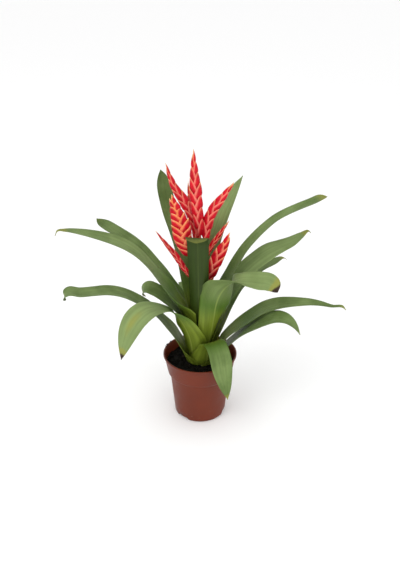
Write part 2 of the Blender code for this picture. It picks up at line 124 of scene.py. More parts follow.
def skin_faces(rows, columns):
    """Faces of a closed skin: an upper grid, a lower grid after it, and a strip round both."""
    upper = grid_faces(rows, columns)
    lower = upper[:, ::-1] + rows * columns
    index = np.arange(rows * columns).reshape(rows, columns)
    border = np.concatenate(
        [index[0, :-1], index[:-1, -1], index[-1, :0:-1], index[:0:-1, 0]]
    )
    onward = np.roll(border, -1)
    below = rows * columns
    strip = np.stack([onward, border, border + below, onward + below], axis=-1)
    return np.concatenate([upper, lower, strip])


def repeat_faces(faces, copies, points_each):
    """The same faces for each of several copies of a shape, laid one after another."""
    shift = (np.arange(copies) * points_each)[:, None, None]
    return (faces[None] + shift).reshape(-1, faces.shape[1])


print("a skin of 3 x 3 points on each side has", len(skin_faces(3, 3)), "faces")

# %% [markdown]
# Plants bend smoothly, so a midrib is given by a few knots and read from a curve through
# them. A curve object could do this too, but its points come only after it is evaluated,
# while a formula gives the place and the direction at any fraction of the length at once.


# %% Smooth changes and smooth paths
def smooth_step(x, low, high):
    """0 below low, 1 above high, and 3t^2 - 2t^3 between them."""
    t = np.clip((x - low) / (high - low), 0.0, 1.0)
    return t * t * (3.0 - 2.0 * t)


def unit(vectors):
    """Vectors divided by their lengths."""
    return vectors / np.linalg.norm(vectors, axis=-1, keepdims=True)


def along_path(knots, fractions):
    """Points at the given fractions of the length of a smooth curve through the knots.

    Each span is a cubic Hermite curve with the slope of its neighbours at both ends.
    """
    knots = np.array(knots)
    length = np.append(0.0, np.cumsum(np.linalg.norm(np.diff(knots, axis=0), axis=1)))
    slopes = np.gradient(knots, length, axis=0)
    at = np.asarray(fractions) * length[-1]
    span = np.clip(np.searchsorted(length, at, side="right") - 1, 0, len(length) - 2)
    size = (length[span + 1] - length[span])[..., None]
    t = (at - length[span])[..., None] / size
    return (
        (2 * t**3 - 3 * t**2 + 1) * knots[span]
        + (t**3 - 2 * t**2 + t) * size * slopes[span]
        + (3 * t**2 - 2 * t**3) * knots[span + 1]
        + (t**3 - t**2) * size * slopes[span + 1]
    )


PATH_STEPS = 600


def even_path(knots, fractions):
    """Points as along_path gives, with the fractions measured on the curve, and its length."""
    fine = along_path(knots, np.linspace(0.0, 1.0, PATH_STEPS))
    length = np.append(0.0, np.cumsum(np.linalg.norm(np.diff(fine, axis=0), axis=1)))
    where = np.asarray(fractions) * length[-1]
    columns = [np.interp(where, length, fine[:, i]) for i in range(fine.shape[1])]
    return np.stack(columns, axis=-1), length[-1]


bend, bend_length = even_path([(0.0, 0.0), (1.0, 1.0), (2.0, 0.0)], np.array([0.5]))
print("a test bend", round(bend_length, 3), "long has its middle at", bend.round(3).tolist())

# %% [markdown]
# ## Ways to write materials
# Materials are built from nodes, because a pattern made by nodes stays sharp at any distance
# and needs no image. A small writer keeps the node trees readable: it adds a node, sets its
# values and joins its inputs in one call.


# %% A short way to write nodes
class Tree:
    """Adds nodes to a node tree. A value that is a socket is linked, any other is set."""

    def __init__(self, tree):
        self.tree = tree

    def add(self, kind, inputs=None, **settings):
        node = self.tree.nodes.new(kind)
        for key, value in settings.items():
            setattr(node, key, value)
        for key, value in (inputs or {}).items():
            self.put(node.inputs[key], value)
        return node

    def put(self, socket, value):
        if isinstance(value, bpy.types.NodeSocket):
            self.tree.links.new(value, socket)
        else:
            socket.default_value = value

    def math(self, operation, *values):
        node = self.add("ShaderNodeMath", dict(enumerate(values)), operation=operation)
        return node.outputs[0]

    def ramp(self, value, low, high, to_low=0.0, to_high=1.0):
        """value from low..high to to_low..to_high, smoothly and clamped."""
        node = self.add("ShaderNodeMapRange", interpolation_type="SMOOTHSTEP")
        for socket, given in zip(node.inputs, (value, low, high, to_low, to_high)):
            self.put(socket, given)
        return node.outputs[0]

    def mix(self, share, a, b, blend="MIX"):
        node = self.add("ShaderNodeMix", data_type="RGBA", blend_type=blend)
        for position, given in ((0, share), (6, a), (7, b)):
            self.put(node.inputs[position], given)
        return node.outputs[2]

    def attribute(self, name):
        node = self.add("ShaderNodeAttribute", attribute_name=name)
        return node.outputs["Fac"]


print("a node tree is written with", [key for key in vars(Tree) if not key.startswith("_")])

# %% [markdown]
# Two effects are shared by several finishes, so each is a node group with named inputs. One
# is uneven mottling: noise, cut between a low and a high level. The other is the fine
# parallel veins of leaves and bracts. Its sine waves run across the UV map and wander with a
# noise that is stretched lengthwise, so the lines stay nearly parallel, as on a real leaf.


# %% Mottling and veins as node groups
def new_group(name, inputs, outputs):
    """An empty node group with float inputs, a vector called Vector, and float outputs."""
    group = bpy.data.node_groups.new(name, "ShaderNodeTree")
    group.interface.new_socket("Vector", in_out="INPUT", socket_type="NodeSocketVector")
    for key, value in inputs.items():
        socket = group.interface.new_socket(key, in_out="INPUT", socket_type="NodeSocketFloat")
        socket.default_value = value
    for key in outputs:
        group.interface.new_socket(key, in_out="OUTPUT", socket_type="NodeSocketFloat")
    start = group.nodes.new("NodeGroupInput")
    end = group.nodes.new("NodeGroupOutput")
    return group, Tree(group), start.outputs, end.inputs


mottle_group, tree, given, result = new_group(
    "mottle", {"Scale": 40.0, "Detail": 4.0, "Low": 0.35, "High": 0.65}, ["Mask"]
)
noise = tree.add(
    "ShaderNodeTexNoise",
    {"Vector": given["Vector"], "Scale": given["Scale"], "Detail": given["Detail"]},
)
tree.put(result["Mask"], tree.ramp(noise.outputs["Fac"], given["Low"], given["High"]))

veins_group, tree, given, result = new_group(
    "fine_veins", {"Lines": 30.0, "Stretch": 2.0, "Wander": 0.6}, ["Height", "Streak"]
)
parts = tree.add("ShaderNodeSeparateXYZ", {0: given["Vector"]}).outputs
place = tree.add(
    "ShaderNodeCombineXYZ",
    {0: tree.math("MULTIPLY", parts[0], given["Lines"]),
     1: tree.math("MULTIPLY", parts[1], given["Stretch"])},
)
noise = tree.add(
    "ShaderNodeTexNoise", {"Vector": place.outputs[0], "Scale": 1.0, "Detail": 3.0}
)
phase = tree.math("MULTIPLY", parts[0], tree.math("MULTIPLY", given["Lines"], 2.0 * math.pi))
wander = tree.math("MULTIPLY", noise.outputs["Fac"], tree.math("MULTIPLY", given["Wander"], 6.0))
lines = tree.math("SINE", tree.math("ADD", phase, wander))
tree.put(result["Height"], tree.math("MULTIPLY_ADD", lines, 0.5, 0.5))
tree.put(result["Streak"], tree.ramp(noise.outputs["Fac"], 0.3, 0.7))
print("groups:", [group.name for group in bpy.data.node_groups])


# %% [markdown]
# Each finish starts in the same way. Values that stay the same all over a piece are set on
# the shader's own sockets, and only what changes over the surface comes through nodes.


# %% Start a material
def new_material(name, **fixed):
    """A material with one Principled shader whose unchanging values are set on its sockets."""
    made = bpy.data.materials.new(name)
    made.use_nodes = True
    tree = Tree(made.node_tree)
    shader = made.node_tree.nodes["Principled BSDF"]
    for key, value in fixed.items():
        shader.inputs[key.replace("_", " ")].default_value = value
    return made, tree, shader


def place_group(tree, group, vector, **values):
    """The outputs of a node group placed in a material with values of its own."""
    node = tree.add("ShaderNodeGroup", node_tree=group)
    tree.put(node.inputs["Vector"], vector)
    for key, value in values.items():
        node.inputs[key].default_value = value
    return node.outputs


def bump(tree, shader, height, distance):
    """Relief from a height between 0 and 1, as deep as the distance in metres."""
    node = tree.add("ShaderNodeBump", {"Height": height, "Distance": distance, "Strength": 1.0})
    tree.put(shader.inputs["Normal"], node.outputs[0])


def off_middle(tree, across):
    """0 on the midrib or keel and 1 at both margins, from a place across of 0 to 1."""
    doubled = tree.math("MULTIPLY", across, 2.0)
    return tree.math("ABSOLUTE", tree.math("SUBTRACT", doubled, 1.0))


def rgb(red, green, blue):
    """A colour given as 0 to 255 on a screen, in the linear values that a shader takes."""
    screen = np.array([red, green, blue]) / 255.0
    linear = np.where(screen <= 0.04045, screen / 12.92, ((screen + 0.055) / 1.055) ** 2.4)
    return (*linear, 1.0)


print("middle grey for a shader:", round(float(rgb(128, 128, 128)[0]), 3))

# %% [markdown]
# ## The pot
# It is a thin moulded nursery pot in terracotta-coloured plastic, half matt, with a faint
# cloudiness from the moulding. Splashes of water and dust have dulled it near the table. The
# clouds are the mottling group at a large scale, and its finest scale gives the plastic a
# slight grain.

# %% Pot material
pot_skin, tree, shader = new_material("pot_skin", Specular_IOR_Level=0.25)
position = tree.add("ShaderNodeTexCoord").outputs["Object"]
cloud = place_group(tree, mottle_group, position, Scale=22.0, Low=0.3, High=0.7)["Mask"]
grain = place_group(tree, mottle_group, position, Scale=900.0, Detail=2.0)["Mask"]
height = tree.add("ShaderNodeSeparateXYZ", {0: position}).outputs[2]
POT_COLOUR = rgb(104, 40, 18)
POT_SHADE = rgb(96, 36, 15)
colour = tree.mix(cloud, POT_SHADE, POT_COLOUR)
splash = place_group(tree, mottle_group, position, Scale=160.0, Low=0.62, High=0.75)["Mask"]
low_down = tree.ramp(height, 0.035, 0.0)
dusty = tree.math("MULTIPLY", tree.math("MULTIPLY", splash, low_down), 0.35)
colour = tree.mix(dusty, colour, rgb(150, 120, 100))
tree.put(shader.inputs["Base Color"], colour)
tree.put(shader.inputs["Roughness"], tree.ramp(cloud, 0.0, 1.0, 0.38, 0.50))
bump(tree, shader, grain, 0.00006)
print("pot skin:", len(pot_skin.node_tree.nodes), "nodes")

# %% [markdown]
# The wall is a profile turned about the axis. A Screw modifier could turn it, but an array
# of points lets the gaps in the foot be pressed in before there is a mesh. The profile runs
# down the outside from the lip, under the floor, and up the inside, and its points crowd
# where the moulding bends: at the rolled lip, the step under the collar and the foot.

# %% Pot profile
POT_HEIGHT = 0.111
POT_STEPS = 180

pot_profile = np.array([
    (0.0588, 0.1110), (0.0595, 0.11095), (0.05992, 0.1106), (0.0600, 0.1102), (0.0600, 0.1090),
    (0.0599, 0.1085), (0.0595, 0.1082), (0.0584, 0.1080), (0.0582, 0.1072), (0.0565, 0.0980),
    (0.0545, 0.0870), (0.05285, 0.0795), (0.0526, 0.0786), (0.0521, 0.0779), (0.0512, 0.0772),
    (0.0500, 0.0765), (0.0493, 0.0757), (0.04905, 0.0745), (0.0488, 0.0730), (0.0470, 0.0550),
    (0.0449, 0.0330), (0.0431, 0.0150), (0.0424, 0.0075), (0.0420, 0.0035), (0.0416, 0.0020),
    (0.0408, 0.0009), (0.0398, 0.0003), (0.0388, 0.0), (0.0372, 0.0), (0.0366, 0.0006),
    (0.0362, 0.0012), (0.0250, 0.0012), (0.0240, 0.0008), (0.0120, 0.0006), (0.0110, 0.0),
    (0.0, 0.0),
    (0.0, 0.0016), (0.0110, 0.0016), (0.0380, 0.0022), (0.0402, 0.0030), (0.0410, 0.0075),
    (0.0418, 0.0150), (0.0436, 0.0330), (0.0457, 0.0550), (0.0475, 0.0730), (0.0479, 0.0762),
    (0.0510, 0.0786), (0.0516, 0.0800), (0.0532, 0.0870), (0.0552, 0.0980), (0.0575, 0.1100),
    (0.0580, 0.11085),
])


def turn_profile(profile, steps):
    """Points (rows, steps, 3) of a profile of (radius, height) turned once round the axis."""
    angle = 2.0 * np.pi * np.arange(steps) / steps
    radius, height = profile[:, :1], profile[:, 1:]
    flat = np.broadcast_to(height, (len(profile), steps))
    return np.stack([radius * np.cos(angle), radius * np.sin(angle), flat], axis=-1)


pot_points = turn_profile(pot_profile, POT_STEPS)
print("pot wall:", pot_points.shape[:2], "rows and steps")

# %% [markdown]
# Three gaps in the foot let water out. Each is a smooth window of azimuth, within which the
# foot is drawn up and in.

# %% Gaps in the foot
GAP_AZIMUTH = -134.0
GAP_HALF_ANGLE = 15.0
GAP_HEIGHT = 0.0055
GAP_DEPTH = 0.0021
OUTER_ROWS = 33
FOOT_INNER_RADIUS = 0.030
FOOT_BLEND = 0.006


def gap_window(angle, middle):
    """1 inside a gap in the foot and 0 outside it, with soft sides, by azimuth in degrees."""
    away = np.abs((angle - middle + 180.0) % 360.0 - 180.0)
    return 1.0 - smooth_step(away, GAP_HALF_ANGLE - 3.0, GAP_HALF_ANGLE)


azimuth = np.degrees(np.arctan2(pot_points[..., 1], pot_points[..., 0]))
window = sum(gap_window(azimuth, GAP_AZIMUTH + turn) for turn in (0.0, 120.0, 240.0))
outside = (np.arange(len(pot_profile)) < OUTER_ROWS)[:, None]
low = (pot_points[..., 2] < GAP_HEIGHT) & outside
radius = np.hypot(pot_points[..., 0], pot_points[..., 1])
foot = low & (radius > FOOT_INNER_RADIUS)
outward = np.clip((radius - FOOT_INNER_RADIUS) / FOOT_BLEND, 0.0, 1.0)
lift = np.where(foot, window * outward, 0.0)
pot_points[..., 2] += lift * (GAP_HEIGHT - pot_points[..., 2]) * 0.9
draw_in = 1.0 - lift * GAP_DEPTH / np.maximum(radius, 0.001)
pot_points[..., :2] *= draw_in[..., None]
print("points drawn up into the gaps:", int((lift > 0.0).sum()))

# %% [markdown]
# The profile ends where it began, at the lip, so a last ring of faces closes it. Where it
# touches the axis, a whole ring of points lies in one place. Each such ring is made one
# point, and the faces that lose a side there become triangles.

# %% Close the pot
rows = len(pot_profile)
pot_faces = grid_faces(rows, POT_STEPS, wrap=True)
closing = np.stack([
    np.arange(POT_STEPS) + (rows - 1) * POT_STEPS,
    (np.arange(POT_STEPS) + 1) % POT_STEPS + (rows - 1) * POT_STEPS,
    (np.arange(POT_STEPS) + 1) % POT_STEPS,
    np.arange(POT_STEPS),
], axis=-1)


def merge_axis(points, faces):
    """Points that coincide made one, and faces that lost a side turned into triangles."""
    flat = points.reshape(-1, 3)
    _, first, index = np.unique(
        np.round(flat, 7), axis=0, return_index=True, return_inverse=True
    )
    merged = index.reshape(-1)[faces]
    kept = []
    for face in merged.tolist():
        ring = [v for i, v in enumerate(face) if v != face[i - 1]]
        if len(set(ring)) > 2:
            kept.append(ring)
    return flat[first], kept


points, faces = merge_axis(pot_points, np.concatenate([pot_faces, closing]))
make_piece("moulded_pot", points, [face[::-1] for face in faces], pot_skin,
           ["pot"])

# %% [markdown]
# ## The compost
# Potting compost is nearly black, rough and crumbly, with a few pale chips. Its finish mixes
# three near-black browns by two sizes of mottling, and an attribute marks the pale crumbs.

# %% Compost material
compost_skin, tree, shader = new_material("compost_skin", Specular_IOR_Level=0.12)
position = tree.add("ShaderNodeTexCoord").outputs["Object"]
fine = place_group(tree, mottle_group, position, Scale=700.0, Detail=6.0)["Mask"]
coarse = place_group(tree, mottle_group, position, Scale=170.0, Low=0.4, High=0.7)["Mask"]
colour = tree.mix(fine, rgb(7, 7, 5), rgb(20, 18, 13))
colour = tree.mix(tree.math("MULTIPLY", coarse, 0.5), colour, rgb(30, 24, 17))
chip = tree.ramp(tree.attribute("pale"), 0.4, 0.6)
colour = tree.mix(chip, colour, rgb(112, 96, 80))
tree.put(shader.inputs["Base Color"], colour)
tree.put(shader.inputs["Roughness"], tree.ramp(coarse, 0.0, 1.0, 0.75, 0.95))
bump(tree, shader, fine, 0.0006)
print("compost skin:", len(compost_skin.node_tree.nodes), "nodes")

# %% [markdown]
# A turned body fills the pot. Its top is raised and lowered by many sine waves of random
# direction, which add up to a loose surface. A displacement texture could do it as well, but
# the waves give the true height, on which the crumbs can lie.

# %% Compost surface
SOIL_HEIGHT = 0.0955
SOIL_RADIUS = 0.0540
SOIL_STEPS = 150
TOP_ROWS = 46
MOUND_RADII = (0.022, 0.050)
soil_random = np.random.default_rng(5)


def lumpy(x, y, height, waves=26, shortest=0.004, longest=0.022):
    """A sum of sine waves of random direction and length, each tall in proportion to it."""
    turn = soil_random.uniform(0.0, 2.0 * np.pi, waves)
    length = soil_random.uniform(shortest, longest, waves)
    phase = soil_random.uniform(0.0, 2.0 * np.pi, waves)
    along = np.multiply.outer(x, np.cos(turn)) + np.multiply.outer(y, np.sin(turn))
    wave = np.sin(2.0 * np.pi * along / length + phase)
    return height * (wave * length).sum(-1) / length.sum() * 4.0


soil_profile = np.array(
    [(radius, SOIL_HEIGHT) for radius in np.linspace(0.0, SOIL_RADIUS, TOP_ROWS)]
    + [(0.0526, 0.0880), (0.0510, 0.0812), (0.0470, 0.0700), (0.0405, 0.0080),
       (0.0380, 0.0026), (0.0, 0.0026)]
)
soil_points = turn_profile(soil_profile, SOIL_STEPS)
top = np.arange(len(soil_profile)) < TOP_ROWS
x, y = soil_points[top, :, 0], soil_points[top, :, 1]
across = np.hypot(x, y)
mound = 0.0022 * (1.0 - smooth_step(across, *MOUND_RADII))
soil_points[top, :, 2] += lumpy(x, y, 0.0011) * smooth_step(across, 0.0, 0.01) + mound
faces = grid_faces(len(soil_profile), SOIL_STEPS, wrap=True)
points, faces = merge_axis(soil_points, faces)
make_piece("compost", points, faces, compost_skin, ["potting_soil"],
           values={"pale": np.zeros(len(points))})

# %% [markdown]
# Hundreds of small angular crumbs lie on the compost, and three have landed on the pot's lip.
# All are copies of one lump with twenty faces, which keeps them light. Each copy is dented,
# stretched, turned and placed, all copies at once as one array.

# %% One lump
GOLDEN = (1.0 + math.sqrt(5.0)) / 2.0
lump = unit(np.array([
    (-1, GOLDEN, 0), (1, GOLDEN, 0), (-1, -GOLDEN, 0), (1, -GOLDEN, 0),
    (0, -1, GOLDEN), (0, 1, GOLDEN), (0, -1, -GOLDEN), (0, 1, -GOLDEN),
    (GOLDEN, 0, -1), (GOLDEN, 0, 1), (-GOLDEN, 0, -1), (-GOLDEN, 0, 1),
]))
lump_faces = np.array([
    (0, 11, 5), (0, 5, 1), (0, 1, 7), (0, 7, 10), (0, 10, 11), (1, 5, 9), (5, 11, 4),
    (11, 10, 2), (10, 7, 6), (7, 1, 8), (3, 9, 4), (3, 4, 2), (3, 2, 6), (3, 6, 8),
    (3, 8, 9), (4, 9, 5), (2, 4, 11), (6, 2, 10), (8, 6, 7), (9, 8, 1),
])
LUMP_POINTS = len(lump)
print("a lump has", LUMP_POINTS, "points and", len(lump_faces), "faces")

# %% Crumbs
CRUMBS = 620
CRUMB_SIZE = 0.00036


def random_turns(count, random):
    """Rotation matrices (count, 3, 3) made from random unit quaternions."""
    w, x, y, z = unit(random.normal(size=(count, 4))).T
    return np.stack([
        1 - 2 * (y * y + z * z), 2 * (x * y - z * w), 2 * (x * z + y * w),
        2 * (x * y + z * w), 1 - 2 * (x * x + z * z), 2 * (y * z - x * w),
        2 * (x * z - y * w), 2 * (y * z + x * w), 1 - 2 * (x * x + y * y),
    ], axis=-1).reshape(count, 3, 3)


size = soil_random.gamma(3.0, CRUMB_SIZE, CRUMBS)[:, None, None]
stretch = soil_random.uniform(0.5, 1.3, (CRUMBS, 1, 3))
dents = 1.0 + soil_random.uniform(-0.25, 0.25, (CRUMBS, LUMP_POINTS, 1))
shapes = lump[None] * dents * stretch * size
shapes = np.einsum("nij,nkj->nki", random_turns(CRUMBS, soil_random), shapes)
radius = np.sqrt(soil_random.uniform(0.024**2, 0.0525**2, CRUMBS))
angle = soil_random.uniform(0.0, 2.0 * np.pi, CRUMBS)
rest = SOIL_HEIGHT + 0.0012 + 0.0018 * (1.0 - smooth_step(radius, *MOUND_RADII))
centres = np.stack([radius * np.cos(angle), radius * np.sin(angle), rest], axis=-1)
RIM_CRUMBS = ((0.0588, 158.0, 0.0022), (0.0592, 163.0, 0.0014), (0.0586, 147.0, 0.0017))
for index, (ring, bearing, scale) in enumerate(RIM_CRUMBS):
    bearing = math.radians(bearing)
    centres[index] = (ring * math.cos(bearing), ring * math.sin(bearing), POT_HEIGHT + 0.0008)
    shapes[index] *= scale / np.abs(shapes[index]).max()
pale = np.repeat(soil_random.uniform(size=CRUMBS) < 0.015, LUMP_POINTS)
make_piece("crumbs", shapes + centres[:, None], repeat_faces(lump_faces, CRUMBS, LUMP_POINTS),
           compost_skin, values={"pale": pale})

# %% [markdown]
# ## Leaves
# A vriesea leaf is one long strap. Its foot is a broad sheath that clasps the plant's axis,
# inside the sheath before it, so water collects between them. Higher up the strap narrows
# at a neck, opens flat, arches over, and ends in a blunt or hooked tip. Each leaf could be
# bent from a plane by hand, but one formula makes them all and keeps the sheaths apart. The
# midrib is a smooth curve in an upright plane. Near the axis the section is an arc about the
# axis, so sheaths nest like rings. Further out it is a shallow channel across the midrib.


# %% Leaf formula
LEAF_STEPS = 400
TIP_HALF_WIDTH = 0.0008
PINCH_LENGTH = 0.11
GUTTER_LENGTH = 0.15
WAVE_LENGTH = 0.052


def leaf_sheet(
    u, v, azimuth, path, sheath, blade, clasp, neck=(0.20, 0.50), taper=0.60, blunt=2.0,
    tail=TIP_HALF_WIDTH, roll=((0.0, 0.0), (1.0, 0.0)), turn=0.0, drift=(0.10, 1.00),
    cup=0.15, gutter=(0.0, 0.45), pinch=(0.0, 0.45), free=(0.024, 0.060), wave=0.0,
):
    """Points of the leaf's middle surface, for u from foot to tip and v from -1 to 1 across.

    With the midrib M(u), side S and face F at right angles to it, and half-width w(u), the
    open section is M + S w v + F w (cup v^2), and the clasping one turns M by v w / reach
    about the axis. A smooth share of the reach, over the range free, blends them.

    w goes from sheath to blade over the range neck, and falls as 1 - x^blunt beyond taper.
    pinch (amount, place) narrows it, and gutter (amount, place) folds the margins up more,
    each as a bell about its place. turn swings the heading over the range drift, roll tips
    the section by degrees at given places, and wave lifts the margins in turn.
    """
    steps = np.linspace(0.0, 1.0, LEAF_STEPS)
    fine, length = even_path(path, steps)
    reach = np.interp(u, steps, fine[:, 0])
    height = np.interp(u, steps, fine[:, 1])
    heading = np.radians(azimuth + turn * smooth_step(u, *drift))
    midrib = np.stack([reach * np.cos(heading), reach * np.sin(heading), height], axis=-1)
    around = np.stack([-np.sin(heading), np.cos(heading), np.zeros_like(heading)], axis=-1)
    forward = unit(np.gradient(midrib, axis=0))
    side = unit(around - (around * forward).sum(-1, keepdims=True) * forward)
    face = np.cross(forward, side)
    rolled = np.radians(np.interp(u, *zip(*roll)))[..., None]
    side, face = (
        side * np.cos(rolled) + face * np.sin(rolled),
        face * np.cos(rolled) - side * np.sin(rolled),
    )
    width = sheath + (blade - sheath) * smooth_step(u, *neck)
    beyond = np.clip((u - taper) / (1.0 - taper), 0.0, 1.0)
    least = tail + (TIP_HALF_WIDTH - tail) * smooth_step(u, 0.97, 1.0)
    width = np.maximum(width * (1.0 - beyond**blunt), least)
    width = width * (1.0 - pinch[0] * np.exp(-(((u - pinch[1]) / PINCH_LENGTH) ** 2)))
    width = np.minimum(width, math.radians(clasp) * reach)

    angle = heading + v * width / reach
    channel = gutter[0] * np.exp(-(((u - gutter[1]) / GUTTER_LENGTH) ** 2))
    climb = height + channel * width * v**2
    wrapped = np.stack([reach * np.cos(angle), reach * np.sin(angle), climb], axis=-1)
    raised = cup + channel
    ripple = np.sin(2.0 * np.pi * u * length / WAVE_LENGTH + 1.3 * v)
    ripple = ripple * wave * np.abs(v) ** 2.5 * smooth_step(u, 0.35, 0.6)
    lift = (raised * width * v**2 + ripple * width)[..., None]
    opened = midrib + side * (v * width)[..., None] + face * lift
    share = smooth_step(reach, *free)[..., None]
    return wrapped * (1.0 - share) + opened * share


along, across = np.meshgrid(np.linspace(0.0, 1.0, 9), np.linspace(-1.0, 1.0, 3), indexing="ij")
sample = leaf_sheet(along, across, azimuth=0, path=[(0.02, 0.0), (0.05, 0.05), (0.09, 0.10)],
                    sheath=0.02, blade=0.01, clasp=60)
print("a sample leaf is", np.ptp(sample[4, :, 1]).round(4), "m wide half way up")
